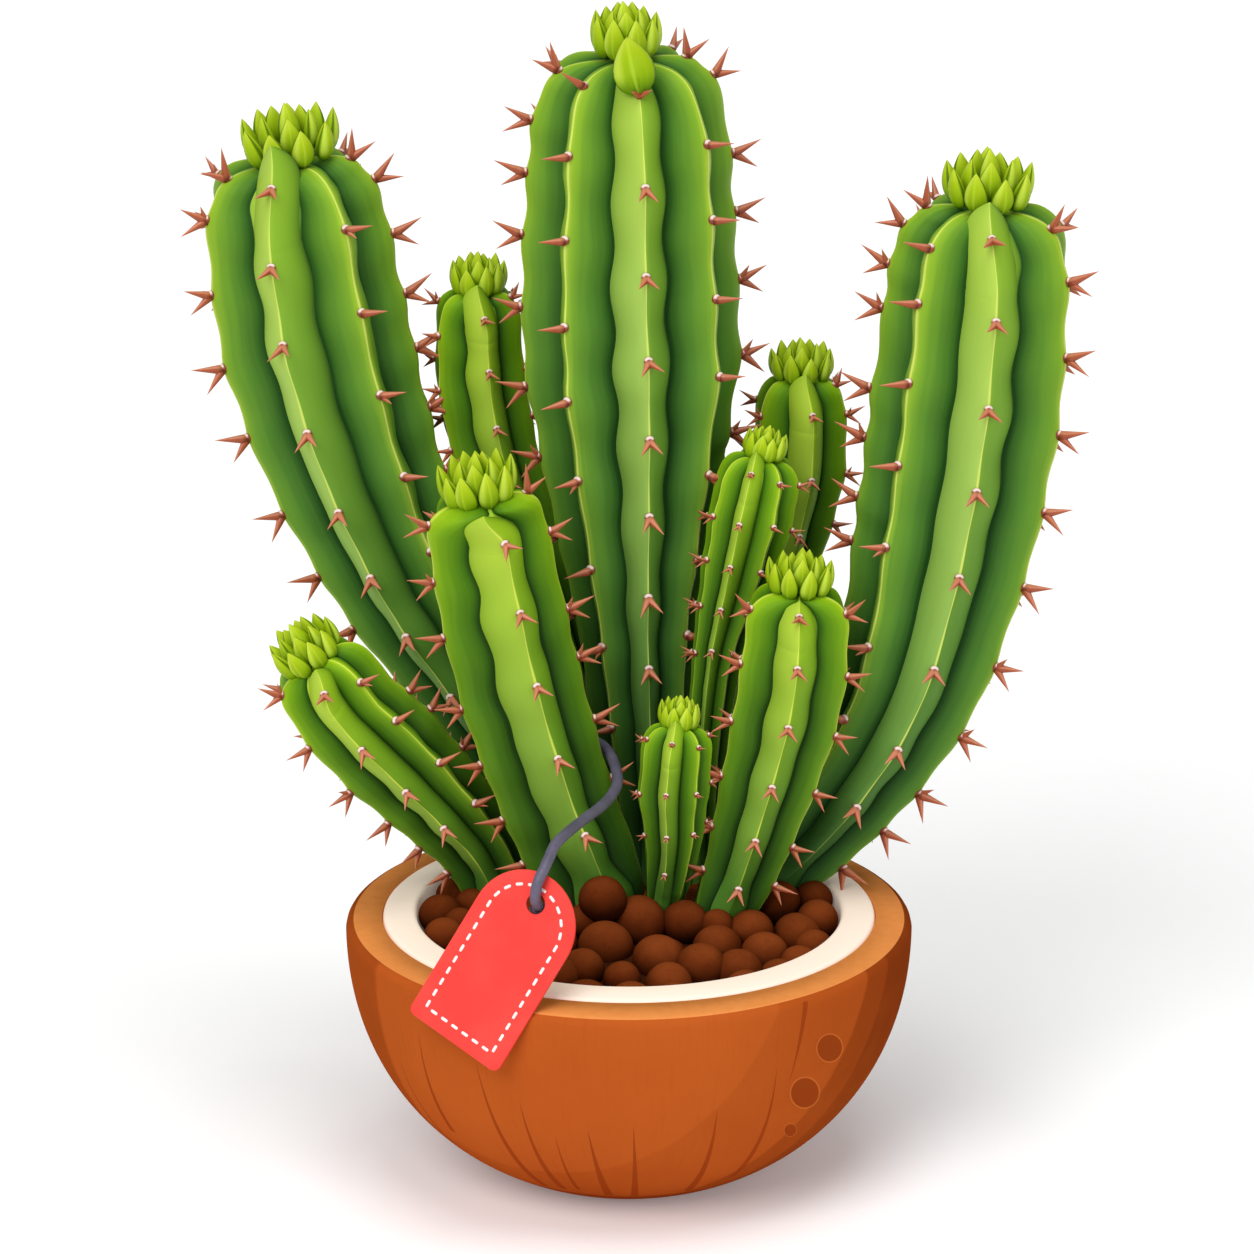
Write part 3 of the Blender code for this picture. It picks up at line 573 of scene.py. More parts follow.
def bed_height(distance):
    fall = (BED_MIDDLE_Z - BED_EDGE_Z) * (distance / (SHELL_RADIUS - inner_inset)) ** 2
    return BED_MIDDLE_Z - fall


def copied(master, place):
    """A copy with its own mesh, moved by a matrix."""
    made = master.copy()
    made.data = master.data.copy()
    made.data.transform(place)
    bpy.context.collection.objects.link(made)
    return made


def marked(piece, name, values):
    """Gives each point of a piece a number, under a name that its finish reads."""
    piece.data.attributes.new(name, "FLOAT", "POINT").data.foreach_set("value", values)


def joined(name, pieces):
    deselect()
    for piece in pieces:
        piece.select_set(True)
    bpy.context.view_layer.objects.active = pieces[0]
    bpy.ops.object.join()
    made = bpy.context.object
    made.name = made.data.name = name
    return made


deselect()
bpy.ops.mesh.primitive_ico_sphere_add(subdivisions=4, radius=1)
ball = bpy.context.object
draw = random.Random(BALL_SEED)
lumps = [(Vector([draw.uniform(-1, 1) for _ in range(3)]).normalized(), draw.uniform(-1, 1))
         for _ in range(LUMPS)]
for vertex in ball.data.vertices:
    swell = sum(size * max(0, vertex.co.dot(lump)) ** LUMP_POWER for lump, size in lumps)
    vertex.co *= 1 + LUMP_RISE * swell
bpy.ops.object.shade_smooth()

balls = [tuple(part * MM for part in place) for place in FRONT_BALLS]
for ring_radius, count, lower in BALL_RINGS:
    for i in range(count):
        angle = 2 * math.pi * (i + draw.uniform(-0.12, 0.12)) / count
        distance = (ring_radius + draw.uniform(-1.2, 0.8)) * MM
        x, y = distance * math.sin(angle), -distance * math.cos(angle)
        radius = BALL_RADIUS * draw.uniform(*BALL_SIZES)
        z = bed_height(distance) + (draw.uniform(-1.2, 0.6) - lower) * MM
        if all(math.dist((x, y, z), near[:3]) > CLOSEST * (radius + near[3]) for near in balls):
            balls.append((x, y, z, radius))
copies = []
for i, (*centre, radius) in enumerate(balls):
    turn = Matrix.Rotation(draw.uniform(0, 6.28), 4, "Z") @ Matrix.Rotation(
        draw.uniform(0, 3.14), 4, "X")
    squash = Matrix.Diagonal((radius, radius, radius * 0.95, 1))
    made = copied(ball, Matrix.Translation(centre) @ squash @ turn)
    marked(made, "tint", [i * TINT_STEP % 1] * len(made.data.vertices))
    # lift is the height on the ball, which its finish turns into painted light on top and painted
    # shade underneath.
    marked(made, "lift", [(v.co.z - centre[2]) / radius for v in made.data.vertices])
    copies.append(made)
bpy.data.objects.remove(ball)
clay_balls = joined("clay_balls", copies)

clay = Finish("fired_clay", Specular_IOR_Level=0)
spot = clay.coordinates("Object")
tint = clay.attribute("tint")
dapple = clay.noise(spot, 95, 4, 0.6)
pores = clay.noise(spot, 700, 3)
# Each ball's own tint and dapple, plus painted light on its top and painted shade underneath.
painted_top_light = clay.attribute("lift")
tone_and_top_light = tint * 0.25 + dapple * 0.5 + painted_top_light * 0.42
base = clay.ramp(tone_and_top_light, (0.15, colour(54, 22, 8)), (0.5, colour(95, 41, 15)),
                 (0.85, colour(128, 61, 26)))
clay.show("Base Color", clay.mix(pores.between(0.55, 0.75) * 0.25, base, colour(70, 28, 12)))
clay.show("Roughness", 0.62 + 0.2 * pores)
clay.bump(dapple * 0.7 + pores * 0.3, 0.4 * MM, 0.45)
dressed(clay_balls, clay)
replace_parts(clay_balls, "clay_ball_bed")

fill_edge = inner_inset + LINING_GAP
fill_low = RIM_Z - (SHELL_DEPTH - fill_edge)
profile = [(r * MM, bed_height(r * MM) - UNDER_BALLS) for r in (0, 20, 40, 55)]
profile += wall_line(fill_edge, fill_low, BED_EDGE_Z - UNDER_BALLS, INSIDE_POINTS)[::-1]
soil = spun("clay_bed_under", profile, UNDER_STEPS)
dark = Finish("shaded_clay", Specular_IOR_Level=0)
crumbs = dark.noise(dark.coordinates("Object"), 260, 4)
dark.show("Base Color", dark.mix(crumbs, colour(48, 22, 10), colour(76, 36, 16)))
dark.show("Roughness", 0.8 + 0.1 * crumbs)
dark.bump(crumbs, 1 * MM, 0.8)
dressed(soil, dark)

# Stems: ten upright shoots of the same plant, ribbed from top to bottom, with a row of pads
# along each rib. One to three spines grow from a pad, and young leaves close each crown. The
# upper end of the front rib stands free of the dome, as a pointed flap.
LOOK_UP = np.array((0, math.sin(LOOK_DOWN), math.cos(LOOK_DOWN)))
ROOT_DEPTH = 14 * MM
ROOT_TAPER = 0.4  # of the radius, lost down to the root's end
ROOT_DRAW = 0.2  # of a root's distance from the middle, by which its end lies further in
RIB_POINTS = 16
RIB_DEPTH = 0.34  # of the radius over the crests
RIB_ROUNDING = 0.16  # how far a crest is rounded off, of the half width of a rib
RIB_START = 12 * MM  # up a stem, where the ribs are fully grown
BACK_PADS_FROM = 22 * MM  # up a stem: lower ones would grow against the lining
DOME_POWER = 2.6
CROWN_DISH = 0.2  # of the dome's height: how far the top is hollowed under the leaves
TOOTH_RISE = 0.018  # of the crest radius: a crest swells round each pad
TOOTH_LATE = 0.1  # of the way to the next pad: a crest is widest that much below its pad
VALLEY_SWAY = 0.05  # of a rib's width: a valley gives way to the swellings on both sides
VALLEY_LATE = 0.22
LINE_LATE = -0.15  # the pale line on a crest, partly a painted highlight, is broadest above a pad
RING_STEP = 2.2 * MM
DOME_STEP = 0.9 * MM
PAD_STEP = 1.5 * MM  # up and down from a pad, to read the slope of its crest
END_LOW = 0.8  # of the dome's height, and
END_EXTRA = 4 * MM  # more: how far below the top the front rib leaves the dome
END_RINGS = 32
END_SIDES = 2 * RIB_POINTS
END_MERGE = 7 * MM  # over which the free end comes out of the rib
END_MERGE_RINGS = 6
END_SUNK = 0.35 * MM  # how deep in the rib the merge starts
END_LIFT = 0.04 * MM
END_BACK = 0.8 * MM  # the flat back of the free end lies that far behind the valleys
END_BLUNT = 0.6  # of the rib's width: a short point for a small value
END_HIDES = 0.3  # of the dome's height, over which the rib sinks away behind its free end
END_COVER = 0.9  # how much of the free end's width hides the rib behind it
END_CLOSEST = 0.1
END_EDGE = 0.4999  # of a rib, where the map of the free end stops, short of the next rib's

# Sizes are in mm. tip is the point of the free end, from the top of the middle line: to the
# right, to the front and up. dome is the height of the rounded top, spine the length of a usual
# spine and step the way from pad to pad. crown is (spread, size, shift to the right). route is
# the middle line from the bed up, as (x, y, z, radius over the crests). ribs are angles from the
# front, with the heights of their pads; a rib without any takes those of the nearest drawn one.
STEMS = {
    "stem_left_tall": dict(
        tip=(-2.2, 20.4, 7.4),
        dome=26, spine=9.5, step=26, young=False, crown=(1.25, 1.0, 2.8), route=(
            (-24, 46, 82, 11.5), (-31, 49, 107, 15), (-49, 52, 140, 18), (-71, 55, 176, 23),
            (-89, 59, 218, 28.5), (-100.5, 61, 258, 31.3), (-105.7, 62, 290, 30),
            (-110, 62, 320, 27)),
        ribs={-68: (252, 239, 214, 192, 169, 143, 121, 102, 78, 52),
              -14: (249, 226, 200, 170, 141, 117, 95, 70, 44),
              36: (234, 205, 175, 144, 116, 88, 60),
              88: (251, 242, 223, 202, 181, 159, 136, 112, 84, 56), 139: (), 190: (), 241: ()}),
    "stem_back_left": dict(
        tip=(0, 10.1, 2.5),
        dome=14, spine=6, step=17.5, young=True, crown=(0.95, 0.75, 0), route=(
            (-8, 59, 84, 6), (-12, 60, 120, 7.5), (-23.5, 62, 160, 10.5), (-37.5, 64, 199, 13.8),
            (-46.5, 66, 236, 15.3), (-48, 66, 273, 13.5)),
        ribs={-108: (187, 168, 150), -62: (179, 162, 143, 122), 12: (185, 169, 149, 130, 110),
              72: (191, 187, 166, 148), 132: (), 192: ()}),
    "stem_centre_tall": dict(
        dome=30, spine=9.5, step=28, young=False, crown=(0.85, 1.0, 0), route=(
            (7, 43, 86, 13), (5, 43, 120, 15), (3, 43, 167, 19.7), (2, 44, 211, 28),
            (1, 44, 255, 35), (0, 44, 290, 34.5), (0, 44, 324, 32.5), (-1, 44, 361, 28.5)),
        ribs={-79: (269, 252, 234, 213, 190, 163, 139, 112, 86),
              -36: (268, 246, 218, 190, 165, 137, 105, 78, 50),
              9: (266, 237, 208, 180, 153, 125, 96, 71, 45),
              51: (247, 223, 196, 170, 136, 106, 80, 52),
              99: (271, 262, 236, 217, 193, 168, 142, 131, 104, 78), 144: (), 189: (), 234: ()}),
    "stem_front_left": dict(
        tip=(1.5, 20.5, -0.5),
        dome=13, spine=8.5, step=23.5, young=True, crown=(1.0, 0.95, 0), route=(
            (-10, 10, 87, 15.5), (-17, 8, 104, 17.8), (-24, 6, 123, 18.6), (-34, 3, 157, 20),
            (-41, -1, 190, 20.2), (-47.5, -4, 228, 18.8)),
        ribs={-70: (140, 121, 102, 77, 57, 37, 21), 20: (134, 111, 85, 57, 28),
              90: (144, 129, 101, 83, 59, 37), 160: (), 230: ()}),
    "stem_low_left": dict(
        tip=(2, 14.1, 0.5),
        dome=13, spine=8, step=19.5, young=True, crown=(1.05, 0.85, 0), route=(
            (-41, 24, 83, 12), (-48, 21, 99, 13.5), (-60, 15, 116, 16), (-77, 8, 137, 18.5),
            (-90, 2, 153, 17.5), (-101.5, -1.5, 172, 16)),
        ribs={-64: (106, 88, 67, 49, 34, 18), -4: (101, 83, 60, 40), 42: (), 92: (78, 68, 50),
              143: (), 194: (), 245: ()}),
    "stem_back_right": dict(
        tip=(1.3, 10.8, 1.5),
        dome=15, spine=6, step=18, young=True, crown=(1.1, 0.75, 0), route=(
            (26, 52, 86, 6), (31, 54, 128, 9), (39, 56, 158, 11), (48, 57, 186, 14),
            (54, 59, 215, 15.8), (55, 60, 246, 14)),
        ribs={-105: (152, 134, 116), -60: (150, 132, 113), 15: (151, 131, 112, 92),
              73: (160, 150, 132, 116, 96), 135: (), 195: ()}),
    "stem_mid_right": dict(
        tip=(-3, 7.9, 1.5),
        dome=13, spine=4.2, step=14.5, young=True, crown=(0.8, 0.65, 0), route=(
            (24, 27, 88, 5), (25, 25, 130, 6.2), (28, 23, 162, 8), (34, 22, 189, 11.8),
            (39, 22, 212, 13.8), (43, 22, 232, 12.5)),
        ribs={-60: (123, 108, 92, 76), -16: (140, 124, 109, 94, 79), 30: (139, 125, 109, 94, 79),
              79: (137, 122, 106), 125: (), 170: (), 215: (), 255: ()}),
    "stem_right_tall": dict(
        tip=(0, 18.6, 2.5),
        dome=28, spine=9.5, step=27, young=False, crown=(1.15, 1.0, 0), route=(
            (45, 25, 88, 13), (62, 26, 107, 17), (79, 25, 133, 21.5), (91, 23, 161, 25.5),
            (101.5, 26, 205, 30), (108, 28, 247, 31.5), (111.5, 30, 285, 30),
            (113.5, 30, 316, 27)),
        ribs={-90: (240, 232, 218, 203, 175, 158, 137, 122, 96),
              -42: (231, 212, 185, 157, 128, 93, 66), 8: (235, 210, 181, 154, 124, 93, 66, 40),
              64: (237, 220, 195, 171, 146, 121, 95, 73, 51, 35, 18), 116: (), 167: (), 219: ()}),
    "stem_front_right": dict(
        tip=(0, 13, -1.5),
        dome=15, spine=7.5, step=19.5, young=True, crown=(1.05, 0.8, 0), route=(
            (31, 2, 86, 10.5), (36, 1, 101, 13), (43, 0, 126, 16), (49, -1, 150, 18),
            (52, -2, 168, 18.4), (54, -3, 196.5, 17.2)),
        ribs={-66: (106, 87, 65, 45, 27, 11), 2: (106, 91, 71, 49, 29, 11),
              66: (106, 86, 67, 47, 27, 13), 125: (), 180: (), 238: ()}),
    "stem_tiny_front": dict(
        tip=(-1.3, 6.8, 2),
        dome=10, spine=2.6, step=15, young=True, crown=(0.8, 0.62, 0), route=(
            (12, 0, 91, 6.5), (14, -5, 110, 9.2), (14, -7, 126, 11.4), (15, -8, 140, 11.4),
            (16, -8, 152, 10.5)),
        ribs={-66: (56, 38, 24), -12: (56, 41, 26, 12), 38: (56, 41, 26), 84: (58, 42, 27),
              130: (), 175: (), 220: (), 258: ()}),
}


def rib_section(aside):
    """The height of a rib's section, from 1 on its crest to 0 in the valley at 1 aside."""
    down = np.hypot(aside, RIB_ROUNDING) - RIB_ROUNDING
    return 1 - down / (math.hypot(1, RIB_ROUNDING) - RIB_ROUNDING)


def across_end(turn):
    """From -1 to 1 across the front of the free end, and back again across its back."""
    return np.where(turn <= 0.5, 4 * turn - 1, 3 - 4 * turn)


def remapped(piece, change):
    """Changes how far round a piece its own map says that each point is."""
    layer = piece.data.uv_layers[0].data
    uv = np.empty(len(layer) * 2)
    layer.foreach_get("uv", uv)
    uv[0::2] = change(uv[0::2])
    layer.foreach_set("uv", uv)


class Stem:
    """The surface of one stem, by distance up its middle line and rib."""

    def __init__(self, name, facts):
        self.name = name
        self.facts = facts
        route = facts["route"]
        self.line = np.array(smooth_line([Vector(knot[:3]) * MM for knot in route], 8))
        steps = np.linalg.norm(np.diff(self.line, axis=0), axis=1)
        self.along = np.concatenate(([0], np.cumsum(steps)))
        self.length = self.along[-1]
        self.dome = facts["dome"] * MM
        knots = np.array([knot[:3] for knot in route], float)
        spans = np.concatenate(([0], np.cumsum(np.linalg.norm(np.diff(knots, axis=0), axis=1))))
        self.knots = self.length * spans / spans[-1]
        self.widths = np.array([knot[3] for knot in route]) * MM
        self.angles = sorted(facts["ribs"])
        self.front = min(range(len(self.angles)), key=lambda i: abs(self.angles[i]))
        self.pads = [self.pads_of(rib) for rib in range(len(self.angles))]
        self.pinched = None
        self.end_line = None
        if "tip" in facts:
            self.end_line = self.free_end()
            self.pinched = self.pinch()

    def pads_of(self, rib):
        """Heights of the pads on a rib, from the lowest up. A rib at the back has them as high
        in the view as those of the rib beside it."""
        pads = np.array(sorted(self.facts["ribs"][self.angles[rib]]), float) * MM
        if len(pads):
            return pads
        angle = math.radians(self.angles[rib])
        drawn = [known for known in self.angles if self.facts["ribs"][known]]
        beside = max(drawn, key=lambda known: math.cos(angle - math.radians(known)))
        pads = np.array(sorted(self.facts["ribs"][beside]), float) * MM
        behind = (math.cos(math.radians(beside)) - math.cos(angle)) * self.width(pads)
        pads = pads - behind * math.tan(LOOK_DOWN)
        return pads[pads > BACK_PADS_FROM]

    def free_end(self):
        """The crest line of the front rib's upper end, which stands free of the dome."""
        self.end_start = self.length - END_LOW * self.dome - END_EXTRA
        aside, forward, above = (part * MM for part in self.facts["tip"])
        middle, rise, front, right = (Vector(part[0]) for part in self.frames(self.length))
        end = middle + right * aside + front * forward + rise * above
        ups = np.array((self.end_start - 2 * MM, self.end_start))
        below, start = self.surface(ups, np.full(2, self.front), np.zeros(2))
        leave = Vector(start - below).normalized()
        start = Vector(start)
        reach = (end - start).length / 3
        return np.array(interpolate_bezier(
            start, start + leave * reach, end - rise * reach, end, END_RINGS + 1))

    def width(self, up):
        """The radius over the crests."""
        wide = np.interp(up, self.knots, self.widths)
        wide = wide * (1 + ROOT_TAPER * np.minimum(0, up) / ROOT_DEPTH)
        into = np.clip((up - self.length + self.dome) / self.dome, 0, 1)
        return wide * (1 - into**DOME_POWER) ** (1 / DOME_POWER)

    def frames(self, up):
        """Middles, and directions up the stem, to its front and to its right."""
        up = np.atleast_1d(up)
        place = np.clip(np.searchsorted(self.along, up, side="right") - 1, 0, len(self.line) - 2)
        steps = self.line[place + 1] - self.line[place]
        rise = steps / np.linalg.norm(steps, axis=1)[:, None]
        rise = np.where((up < 0)[:, None], (0, 0, 1), rise)
        middle = self.line[place] + rise * (up - self.along[place])[:, None]
        sunk = np.minimum(up, 0)[:, None] / ROOT_DEPTH * ROOT_DRAW
        middle += sunk * self.line[0] * (1, 1, 0)
        front = np.array((0, -1, 0)) + rise * rise[:, 1:2]
        front /= np.linalg.norm(front, axis=1)[:, None]
        return middle, rise, front, np.cross(rise, front)

    def swelling(self, rib, up, later=0.0):
        """How much a rib swells at a height: 1 at a pad and -1 half-way between two."""
        pads = self.pads[rib % len(self.angles)]
        step = self.facts["step"] * MM
        marks = np.concatenate(([pads[0] - step], pads, [pads[-1] + step]))
        phase = np.interp(up, marks, np.arange(len(marks))) + later
        return np.cos(2 * np.pi * phase)

    def surface(self, up, rib, share):
        """Places on the surface; share runs from a rib's crest at 0 to the next one's at 1."""
        count = len(self.angles)
        middle, rise, front, right = self.frames(up)
        starts = np.radians(self.angles + [self.angles[0] + 360])
        sway = np.zeros(len(up))
        tooth = np.zeros(len(up))
        for i in range(count):
            mine = rib == i
            here, there = (self.swelling(side, up[mine], VALLEY_LATE) for side in (i, i + 1))
            sway[mine] = VALLEY_SWAY * (here - there) / 2
            here, there = (self.swelling(side, up[mine], TOOTH_LATE) for side in (i, i + 1))
            weight = np.cos(np.pi * share[mine] / 2) ** 2
            tooth[mine] = here * weight + there * (1 - weight)
        swayed = share + sway * 4 * share * (1 - share)
        if self.pinched:
            power = np.interp(up, *self.pinched)
            swayed = np.where(rib == self.front, swayed**power, swayed)
            before = rib == (self.front - 1) % count
            swayed = np.where(before, 1 - (1 - swayed) ** power, swayed)
        angle = starts[rib] + (starts[rib + 1] - starts[rib]) * swayed
        wide = self.width(up)
        grown = np.clip((up + 0.3 * MM) / RIB_START, 0, 1)
        crest = rib_section(2 * np.minimum(share, 1 - share))
        if self.pinched:
            hidden = np.clip((up - self.end_start) / (END_HIDES * self.dome), 0, 1)
            covered = ((rib == self.front) & (share < 0.5)) | (before & (share > 0.5))
            crest = np.where(covered, crest * (1 - hidden), crest)
        far = wide * (1 - RIB_DEPTH * grown * (1 - crest) + TOOTH_RISE * grown * tooth * crest)
        out = front * np.cos(angle)[:, None] + right * np.sin(angle)[:, None]
        into = np.clip((up - self.length + self.dome) / self.dome, 0, 1)
        hollow = CROWN_DISH * self.dome * into**2 * (1 - np.minimum(1, far / self.widths[-1]) ** 2)
        return middle + out * far[:, None] - rise * hollow[:, None]

    def narrowing(self, share):
        """How wide the free end still is, at a share of its height."""
        sides = np.array((self.front - 1, self.front)) % len(self.angles)
        left, right = self.surface(np.full(2, self.end_start), sides, np.full(2, 0.5))
        reach = np.linalg.norm(np.diff(self.end_line, axis=0), axis=1).sum()
        return 1 - np.clip(share, 0, 1) ** (1 + reach / (END_BLUNT * np.linalg.norm(right - left)))

    def pinch(self):
        """Heights on the dome, and how sharply the ribs beside the free end close in there."""
        ups = np.linspace(self.end_start, self.length, 40)
        crest = self.surface(ups, np.full(40, self.front), np.zeros(40))
        shares = np.linspace(0, 1, END_RINGS + 1)
        share = np.interp(crest @ LOOK_UP, self.end_line @ LOOK_UP, shares)
        still = np.maximum(END_COVER * self.narrowing(share), END_CLOSEST)
        return ups, 1 + np.maximum(0, np.log2(END_COVER / still))

    def pad_frame(self, rib, up):
        """The place of a pad on its crest, and its directions: out, up and aside."""
        height = np.array([up])
        at = np.array([rib])
        place = Vector(self.surface(height, at, np.zeros(1))[0])
        steps = up - PAD_STEP, min(up + PAD_STEP, self.length - 0.1 * MM)
        below, above = (
            Vector(self.surface(np.array([step]), at, np.zeros(1))[0]) for step in steps)
        rise = (above - below).normalized()
        if self.end_line is not None and rib == self.front and up > self.end_start:
            at = np.interp(LOOK_UP @ place, self.end_line @ LOOK_UP, np.arange(END_RINGS + 1))
            i = min(int(at), END_RINGS - 1)
            step = self.end_line[i + 1] - self.end_line[i]
            place = Vector(self.end_line[i] + step * (at - i))
            rise = Vector(step).normalized()
        front, right = (Vector(part[0]) for part in self.frames(height)[2:])
        angle = math.radians(self.angles[rib])
        out = front * math.cos(angle) + right * math.sin(angle)
        out = (out - rise * out.dot(rise)).normalized()
        return place, out, rise, rise.cross(out)

    def skin(self):
        """The ribbed body: a ball whose rings are drawn out along the stem."""
        count = len(self.angles)
        straight = self.length - self.dome
        low = np.linspace(-ROOT_DEPTH, straight, max(8, round((straight + ROOT_DEPTH) / RING_STEP)))
        dome_rings = max(10, round(self.dome / DOME_STEP))
        high = straight + self.dome * np.sin(np.linspace(0, np.pi / 2, dome_rings + 1))[1:]
        heights = np.concatenate(([-ROOT_DEPTH], low, high))
        around = count * RIB_POINTS
        self.centre_low = self.frames(-ROOT_DEPTH)[0][0]
        above = np.zeros(around * (len(heights) - 2) + 2)

        def place(ring, turn):
            point = np.rint(turn * around).astype(int) % around
            rib = point // RIB_POINTS
            step = point % RIB_POINTS / RIB_POINTS
            half = np.minimum(step, 1 - step)
            share = 0.25 * (1 - np.cos(2 * np.pi * half))
            share = np.where(step > 0.5, 1 - share, share)
            near = rib + (share > 0.5)
            for i in range(count + 1):
                mine = near == i
                above[mine] = self.swelling(i, heights[ring[mine]], LINE_LATE)
            made = self.surface(heights[ring], rib, share)
            made[ring == 0] = self.centre_low
            return made

        piece = grown_ball(self.name + "_skin", around, len(heights) - 1, place,
                           heights / self.length)
        remapped(piece, lambda turn: turn * count - self.front)
        marked(piece, "above_pad", above)
        return piece

    def rib_end(self):
        """The front rib's free upper end: the rib's own section, narrowed to a point."""
        merge = np.linspace(-1, 0, END_MERGE_RINGS + 1)
        rows = np.concatenate(([-1], merge, np.linspace(0, 1, END_RINGS + 1)[1:]))
        ups = self.end_start + np.where(
            rows < 0, rows * END_MERGE, rows * (self.length - self.end_start))
        lines = np.concatenate((self.end_line[:1].repeat(END_MERGE_RINGS + 1, 0), self.end_line))
        sunk = END_SUNK * -np.minimum(rows, 0) - END_LIFT
        _, _, front, _ = (part[0] for part in self.frames(self.end_start))
        sides = np.array((self.front - 1, self.front)) % len(self.angles)
        narrow = self.narrowing(rows)
        narrow[0] = 0
        above = np.zeros(END_SIDES * (len(rows) - 2) + 2)

        def place(ring, turn):
            facing = (turn <= 0.5)[:, None]
            aside = across_end(turn)
            rib = np.where(aside < 0, self.front - 1, self.front) % len(self.angles)
            share = 0.25 * (1 - np.cos(np.pi * aside))
            share = np.where(aside < 0, 1 - share, share)
            low = self.end_start + np.minimum(ups[ring] - self.end_start, 0)
            seat = self.surface(low, rib, share)
            crest = self.surface(low, np.full(len(ring), self.front), np.zeros(len(ring)))
            valleys = [self.surface(low, np.full(len(ring), side), np.full(len(ring), 0.5))
                       for side in sides]
            flat = valleys[0] + (valleys[1] - valleys[0]) * (aside[:, None] + 1) / 2
            section = np.where(facing, seat, flat - front * END_BACK) - crest
            middle = np.where((rows[ring] < 0)[:, None], crest, lines[ring])
            above[:] = self.swelling(self.front, ups[ring], LINE_LATE)
            return middle + section * narrow[ring][:, None] - front * sunk[ring][:, None]

        piece = grown_ball(self.name + "_rib_end", END_SIDES, len(rows) - 1, place,
                           ups / self.length)
        remapped(piece, lambda turn: across_end(turn) * END_EDGE)
        marked(piece, "above_pad", above)
        return piece


def skin_finish(name, lit_crest_shaded_valley_tones, painted_lit_face_tones, painted_shaded_face_tones):
    """Waxy green skin, with its light and shade painted in. The first tones are three ramps from a
    crest painted lit to a valley painted in shade, for the foot, the middle and the top of a stem,
    darker at the foot as painted shade near the bed. The next two are ramps up the stem for the
    front rib's two faces: the left one painted lit, the right one painted in shade. A painted
    highlight, partly the crest's own pale line, runs along each crest."""
    skin = Finish(name, Specular_IOR_Level=0.08)

    def painted(share, places, tones):
        return skin.ramp(share, *((place, colour(*tone)) for place, tone in zip(places, tones)))

    flat = skin.coordinates("UV")
    turn, up, _ = skin.parts(flat)
    across = 1 - abs(turn.math("FRACT", turn) * 2.0 - 1)
    streaks = skin.noise(skin.stretched(flat, (17, 3.2, 1)), 1.0, 5, 0.6)
    cloud = skin.noise(skin.coordinates("Object"), 42, 3)
    above = skin.attribute("above_pad")
    rough = (streaks - 0.5) * 0.24 + (cloud - 0.5) * 0.14
    shade = across + rough * (1 - across.between(0.8, 0.95))
    # Ramps from a crest painted lit to a valley painted in shade, darker at the foot as painted
    # shade near the bed.
    places = (0.05, 0.13, 0.31, 0.51, 0.7, 0.87)
    foot, middle, top = (painted(shade, places, tones) for tones in lit_crest_shaded_valley_tones)
    body = skin.mix((up + rough * 0.3).between(0.0, 0.5), foot, middle)
    body = skin.mix((up + rough * 0.3).between(0.55, 0.97), body, top)
    # The front rib's faces: the left one painted lit, the right one painted in shade, both graded
    # towards the valleys.
    pale = painted(up + rough * 0.5, (0.08, 0.25, 0.45, 0.7, 0.95), painted_lit_face_tones)
    shaded_face = painted(up + rough * 0.5, (0.08, 0.4, 0.75, 0.95), painted_shaded_face_tones)
    pale = skin.mix(across * (0.6 + rough), pale, shaded_face)
    shaded_face = skin.mix(across.between(0.3, 1.1) * 0.8, shaded_face, body)
    right_face = turn.between(-0.012, 0.012)
    front = 1 - abs(turn).between(0.494, 0.5)
    face = skin.mix(right_face, pale, shaded_face)
    # A painted line of shade along the front rib's valley edges.
    face = skin.mix(across.between(0.93, 0.99) * 0.85, face, colour(*lit_crest_shaded_valley_tones[0][5]))
    body = skin.mix(front, body, face)
    # A painted highlight along each crest, partly the crest's own pale line, broadest above the
    # pads.
    half_line = 0.06 + above * 0.03
    line = 1 - (across / half_line).between(0.6, 1.5)
    line = line * (0.86 + 0.08 * front) * up.between(0.0, 0.25)
    body = skin.mix(line, body, colour(*lit_crest_shaded_valley_tones[2][0]))
    skin.show("Base Color", body)
    skin.show("Roughness", 0.36 + 0.18 * across + 0.1 * streaks)
    skin.bump(streaks * 0.6 + cloud * 0.4, 0.25 * MM, 0.3)
    return skin


# Skin tones: crests painted lit, valleys painted in shade, the front rib's left face painted lit
# and its right face in shade.
old_skin = skin_finish(
    "old_skin",
    (((150, 188, 74), (104, 150, 52), (74, 122, 46), (54, 98, 40), (40, 78, 33), (24, 54, 22)),
     ((192, 208, 98), (134, 172, 50), (98, 144, 44), (78, 126, 43), (56, 100, 36), (32, 70, 26)),
     ((206, 220, 104), (152, 188, 46), (122, 164, 42), (92, 138, 40), (64, 110, 35), (38, 80, 28))),
    ((66, 108, 50), (108, 154, 70), (148, 186, 86), (168, 201, 92), (172, 202, 76)),
    ((54, 98, 40), (94, 140, 50), (120, 164, 52), (138, 180, 48)))
young_skin = skin_finish(
    "young_skin",
    (((150, 188, 60), (104, 150, 36), (72, 118, 30), (52, 92, 27), (36, 70, 20), (20, 46, 12)),
     ((186, 212, 74), (128, 168, 36), (98, 144, 28), (74, 118, 23), (54, 94, 18), (28, 58, 12)),
     ((206, 222, 84), (156, 192, 32), (122, 166, 20), (94, 140, 16), (66, 112, 14), (36, 74, 12))),
    ((84, 134, 46), (128, 170, 62), (146, 184, 68), (162, 196, 62), (178, 206, 66)),
    ((68, 114, 34), (100, 146, 36), (124, 166, 34), (146, 184, 34)))

